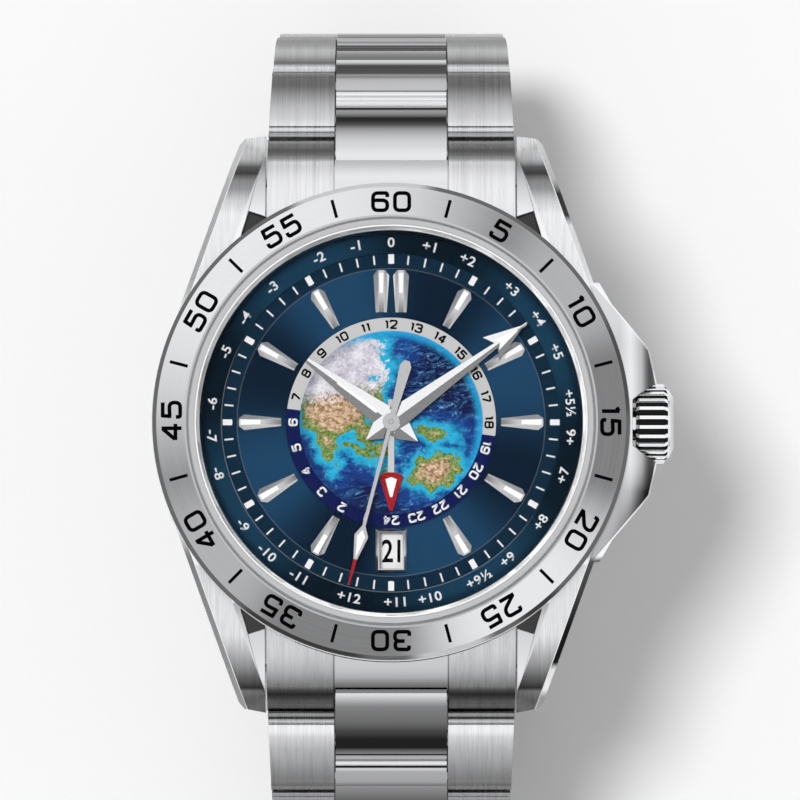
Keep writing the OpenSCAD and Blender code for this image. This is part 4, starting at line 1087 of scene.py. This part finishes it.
# %% Chapter ring figures
PLACES = [0, 12.3, 25.3, 42.1, 54.8, 66.9, 84.0, 94.8, 107.2, 123.8, 139.7, 150.8, 167.5, 178.8,
          193.5, 211.0, 223.4, 235.1, 253.4, 265.5, 275.9, 293.0, 305.5, 318.5, 336.3, 348.5]
CHAPTER_LOW, CHAPTER_RUN, CHAPTER_RISE = 8.05, 1.7, 0.65
OFFSETS = ("0 +1 +2 +3 +4 +5 +5½ +6 +7 +8 +9 +9½ +10 +11 "
           "+12 -11 -10 -9 -8 -7 -6 -5 -4 -3 -2 -1").split()


def chapter_level(r):
    """Height of the chapter ring's sloping face at a radius."""
    return CHAPTER_LOW + (r - TRACK_OUT) / CHAPTER_RUN * CHAPTER_RISE


OFFSETS_AT = 15.72
ring_items = [(glyphs(text, height=0.84, stretch=1.12, bold=0.022, gap=1.08), OFFSETS_AT, angle,
               90 < angle < 270) for angle, text in zip(PLACES, OFFSETS)]
stamp("chapter_numerals", ring_items, chapter_level, "white", "case")
print("chapter ring", len(ring_items), "figures")

# %% [markdown]
# ### 24 hour ring and date
# Dark figures lie on the day half and white ones on the night half. The date ring carries
# its 31 days under the dial, and the 21st is in the window.

# %% 24 hour ring and date
DIAL_TOP, DATE_TOP = 7.8, 7.25
HOURS_AT, DAYS_AT = 8.57, 11.23
TODAY, DAYS = 21, 31
hours = {h: (figures(str(h), pen=0.172, size=0.43, narrow=0.95, gap=0.62), HOURS_AT,
             (h - 12) * 15, False) for h in range(1, 25)}
for name, mat, wanted in (("hours_of_day", "ink", True), ("hours_of_night", "white", False)):
    half = [hours[h] for h in hours if (7 <= h <= 18) == wanted]
    stamp(name, half, lambda r: DIAL_TOP, mat, "case")
days = [(glyphs(str(d), height=2.0, stretch=0.76, bold=0.016, gap=0.95), DAYS_AT,
         180 + (d - TODAY) * 360 / DAYS, True) for d in range(1, DAYS + 1)]
stamp("date_numerals", days, lambda r: DATE_TOP, "ink", "date_body", curl=False)
print("hours", len(hours), "days", len(days))

# %% [markdown]
# ### Lume
# Lume fills the outer half of each bar, the hour hand, the minute hand's arrowhead, a kite
# in the 24 hour hand and a diamond on the seconds hand. Each fill is a plate that stands a
# few hundredths of a millimetre proud of its steel and rides on the same body.

# %% Lume in the markers
MARKER_TOP = 8.3
strip = [(-0.19, -0.9), (0.19, -0.9), (0.25, 0.85), (-0.25, 0.85)]
single = [(plate(strip), 12.3, h * 30, False) for h in range(1, 12) if h != 6]
pair = [(plate([(side * 0.868 + x * 0.8, y) for x, y in strip]), 12.2, 0, False)
        for side in (-1, 1)]
for name, bars in (("marker_lume", single), ("twelve_lume", pair)):
    stamp(name, bars, lambda r: MARKER_TOP, "lume", "case", 0.03, False)
print("lume", len(single) + len(pair), "bars")

# %% Lume on the hands
HOUR_TOP, MINUTE_TOP, SECOND_TOP, ZONE_TOP = 8.545, 8.93, 9.19, 8.15


def on_hand(name, points, angle, level, mat, body, thick=0.02):
    """A flat inlay given along +Y from the axis, turned to its hand."""
    flat = plate([(x, y - 5) for x, y in points])  # stamp lays it 5 mm out again
    stamp(name, [(flat, 5, angle, False)], lambda r: level, mat, body, thick, False)


on_hand("hour_lume", [(-0.16, 1.5), (0.16, 1.5), (0.12, 5.8), (-0.12, 5.8)],
        HOUR, HOUR_TOP, "lume", "hours_body", 0.03)
on_hand("minute_lume", [(-0.5, 11.3), (0, 11.75), (0.5, 11.3), (0.09, 13.6), (-0.09, 13.6)],
        MINUTE, MINUTE_TOP, "lume", "minutes_body", 0.04)
on_hand("second_lume", [(0, 9.75), (0.36, 10.35), (0, 12.3), (-0.36, 10.35)],
        SECOND, SECOND_TOP, "lume", "seconds_body")
on_hand("second_tip", [(-0.16, 12.4), (0.16, 12.4), (0.075, 14.68), (-0.075, 14.68)],
        SECOND, SECOND_TOP, "red", "seconds_body")
on_hand("gmt_lume", [(0, 4.8), (0.5, 5.0), (0.1, 6.55), (-0.1, 6.55), (-0.5, 5.0)],
        ZONE, ZONE_TOP, "lume", "gmt_body")
print("inlays on the hands done")

# %% [markdown]
# ## Studio
# The floor lies just under the clasp and is plain pale paper. The world fills the room with
# even light, a little brighter at the horizon, so that a side view has a pale background.

# %% Floor
low_z = start_box[0][2]
FLOOR_HALF, FLOOR_GAP = 3.0, 0.00002  # metres
z = low_z - FLOOR_GAP
corners = [(x * FLOOR_HALF, y * FLOOR_HALF, z) for x, y in ((-1, -1), (1, -1), (1, 1), (-1, 1))]
floor_mesh = bpy.data.meshes.new("floor")
floor_mesh.from_pydata(corners, [], [[0, 1, 2, 3]])
paper = paint("floor_paper", (0.94, 0.94, 0.94), 0.9, Specular_IOR_Level=0.1)
floor_mesh.materials.append(paper.mat)
floor = put("floor", floor_mesh)
print("floor at", round(z / MM, 2), "mm")

# %% World


class Sky(Shade):
    """The world's shader, with the direction as its coordinates."""

    def __init__(self):
        world = bpy.data.worlds.new("sky")
        world.use_nodes = True
        bpy.context.scene.world = world
        self.tree = world.node_tree
        self.split(self.value("Generated", "TexCoord", {}))


sky = Sky()
level = sky.smooth(sky.z, 0.12, 0.05) * 0.36 + 0.51
sky.link(sky.vec(level, level, level * 1.01), sky.tree.nodes["Background"].inputs["Color"])
print("world", len(sky.tree.nodes), "shader nodes")

# %% [markdown]
# ### Tent
# Steel shows whatever stands round it, so a photographer hangs a white tent over the watch.
# It is brightest overhead and greyer towards the table, so that rounded faces darken as they
# turn away. Here it is a big ball with that run of tone, which only the steel mirrors: if it
# also lit the table, the soft shadow would be lost.

# %% Tent
TENT_RADIUS = 2600.0


def tent_cloth():
    s = Shade("tent_cloth", (0.0, 0.0, 0.0), 0.0, 1.0, Specular_IOR_Level=0.0,
              Emission_Strength=1.0)
    up = s.z * (1 / TENT_RADIUS)
    glow = s.profile(up, [(0.0, 0.45), (0.15, 0.6), (0.5, 0.98), (0.65, 1.04)])
    return s.set(Emission_Color=s.vec(glow, glow, glow * 1.01))


tent_bm = bmesh.new()
bmesh.ops.create_icosphere(tent_bm, subdivisions=4, radius=TENT_RADIUS * MM)
tent_mesh = bpy.data.meshes.new("tent")
tent_bm.to_mesh(tent_mesh)
tent_bm.free()
tent_mesh.materials.append(tent_cloth().mat)
tent = put("tent", tent_mesh)
tent.visible_camera = tent.visible_diffuse = False
tent.visible_shadow = tent.visible_transmission = False
print("tent radius", TENT_RADIUS)

# %% [markdown]
# ### Key light
# A soft, high sun from the upper left gives the shadow to the right. The steel doesn't
# mirror it, since its reflection would burn a hole in the bezel.

# %% Key light
TO_SUN = Vector((-0.26, 0.15, 1.0))
sun_data = bpy.data.lights.new("key", "SUN")
sun_data.energy = 1.85
sun_data.angle = radians(13)
sun = put("key", sun_data)
sun.rotation_euler = TO_SUN.to_track_quat("Z", "Y").to_euler()
sun.visible_glossy = False
bpy.context.scene.view_settings.view_transform = "Standard"
print("studio ready")
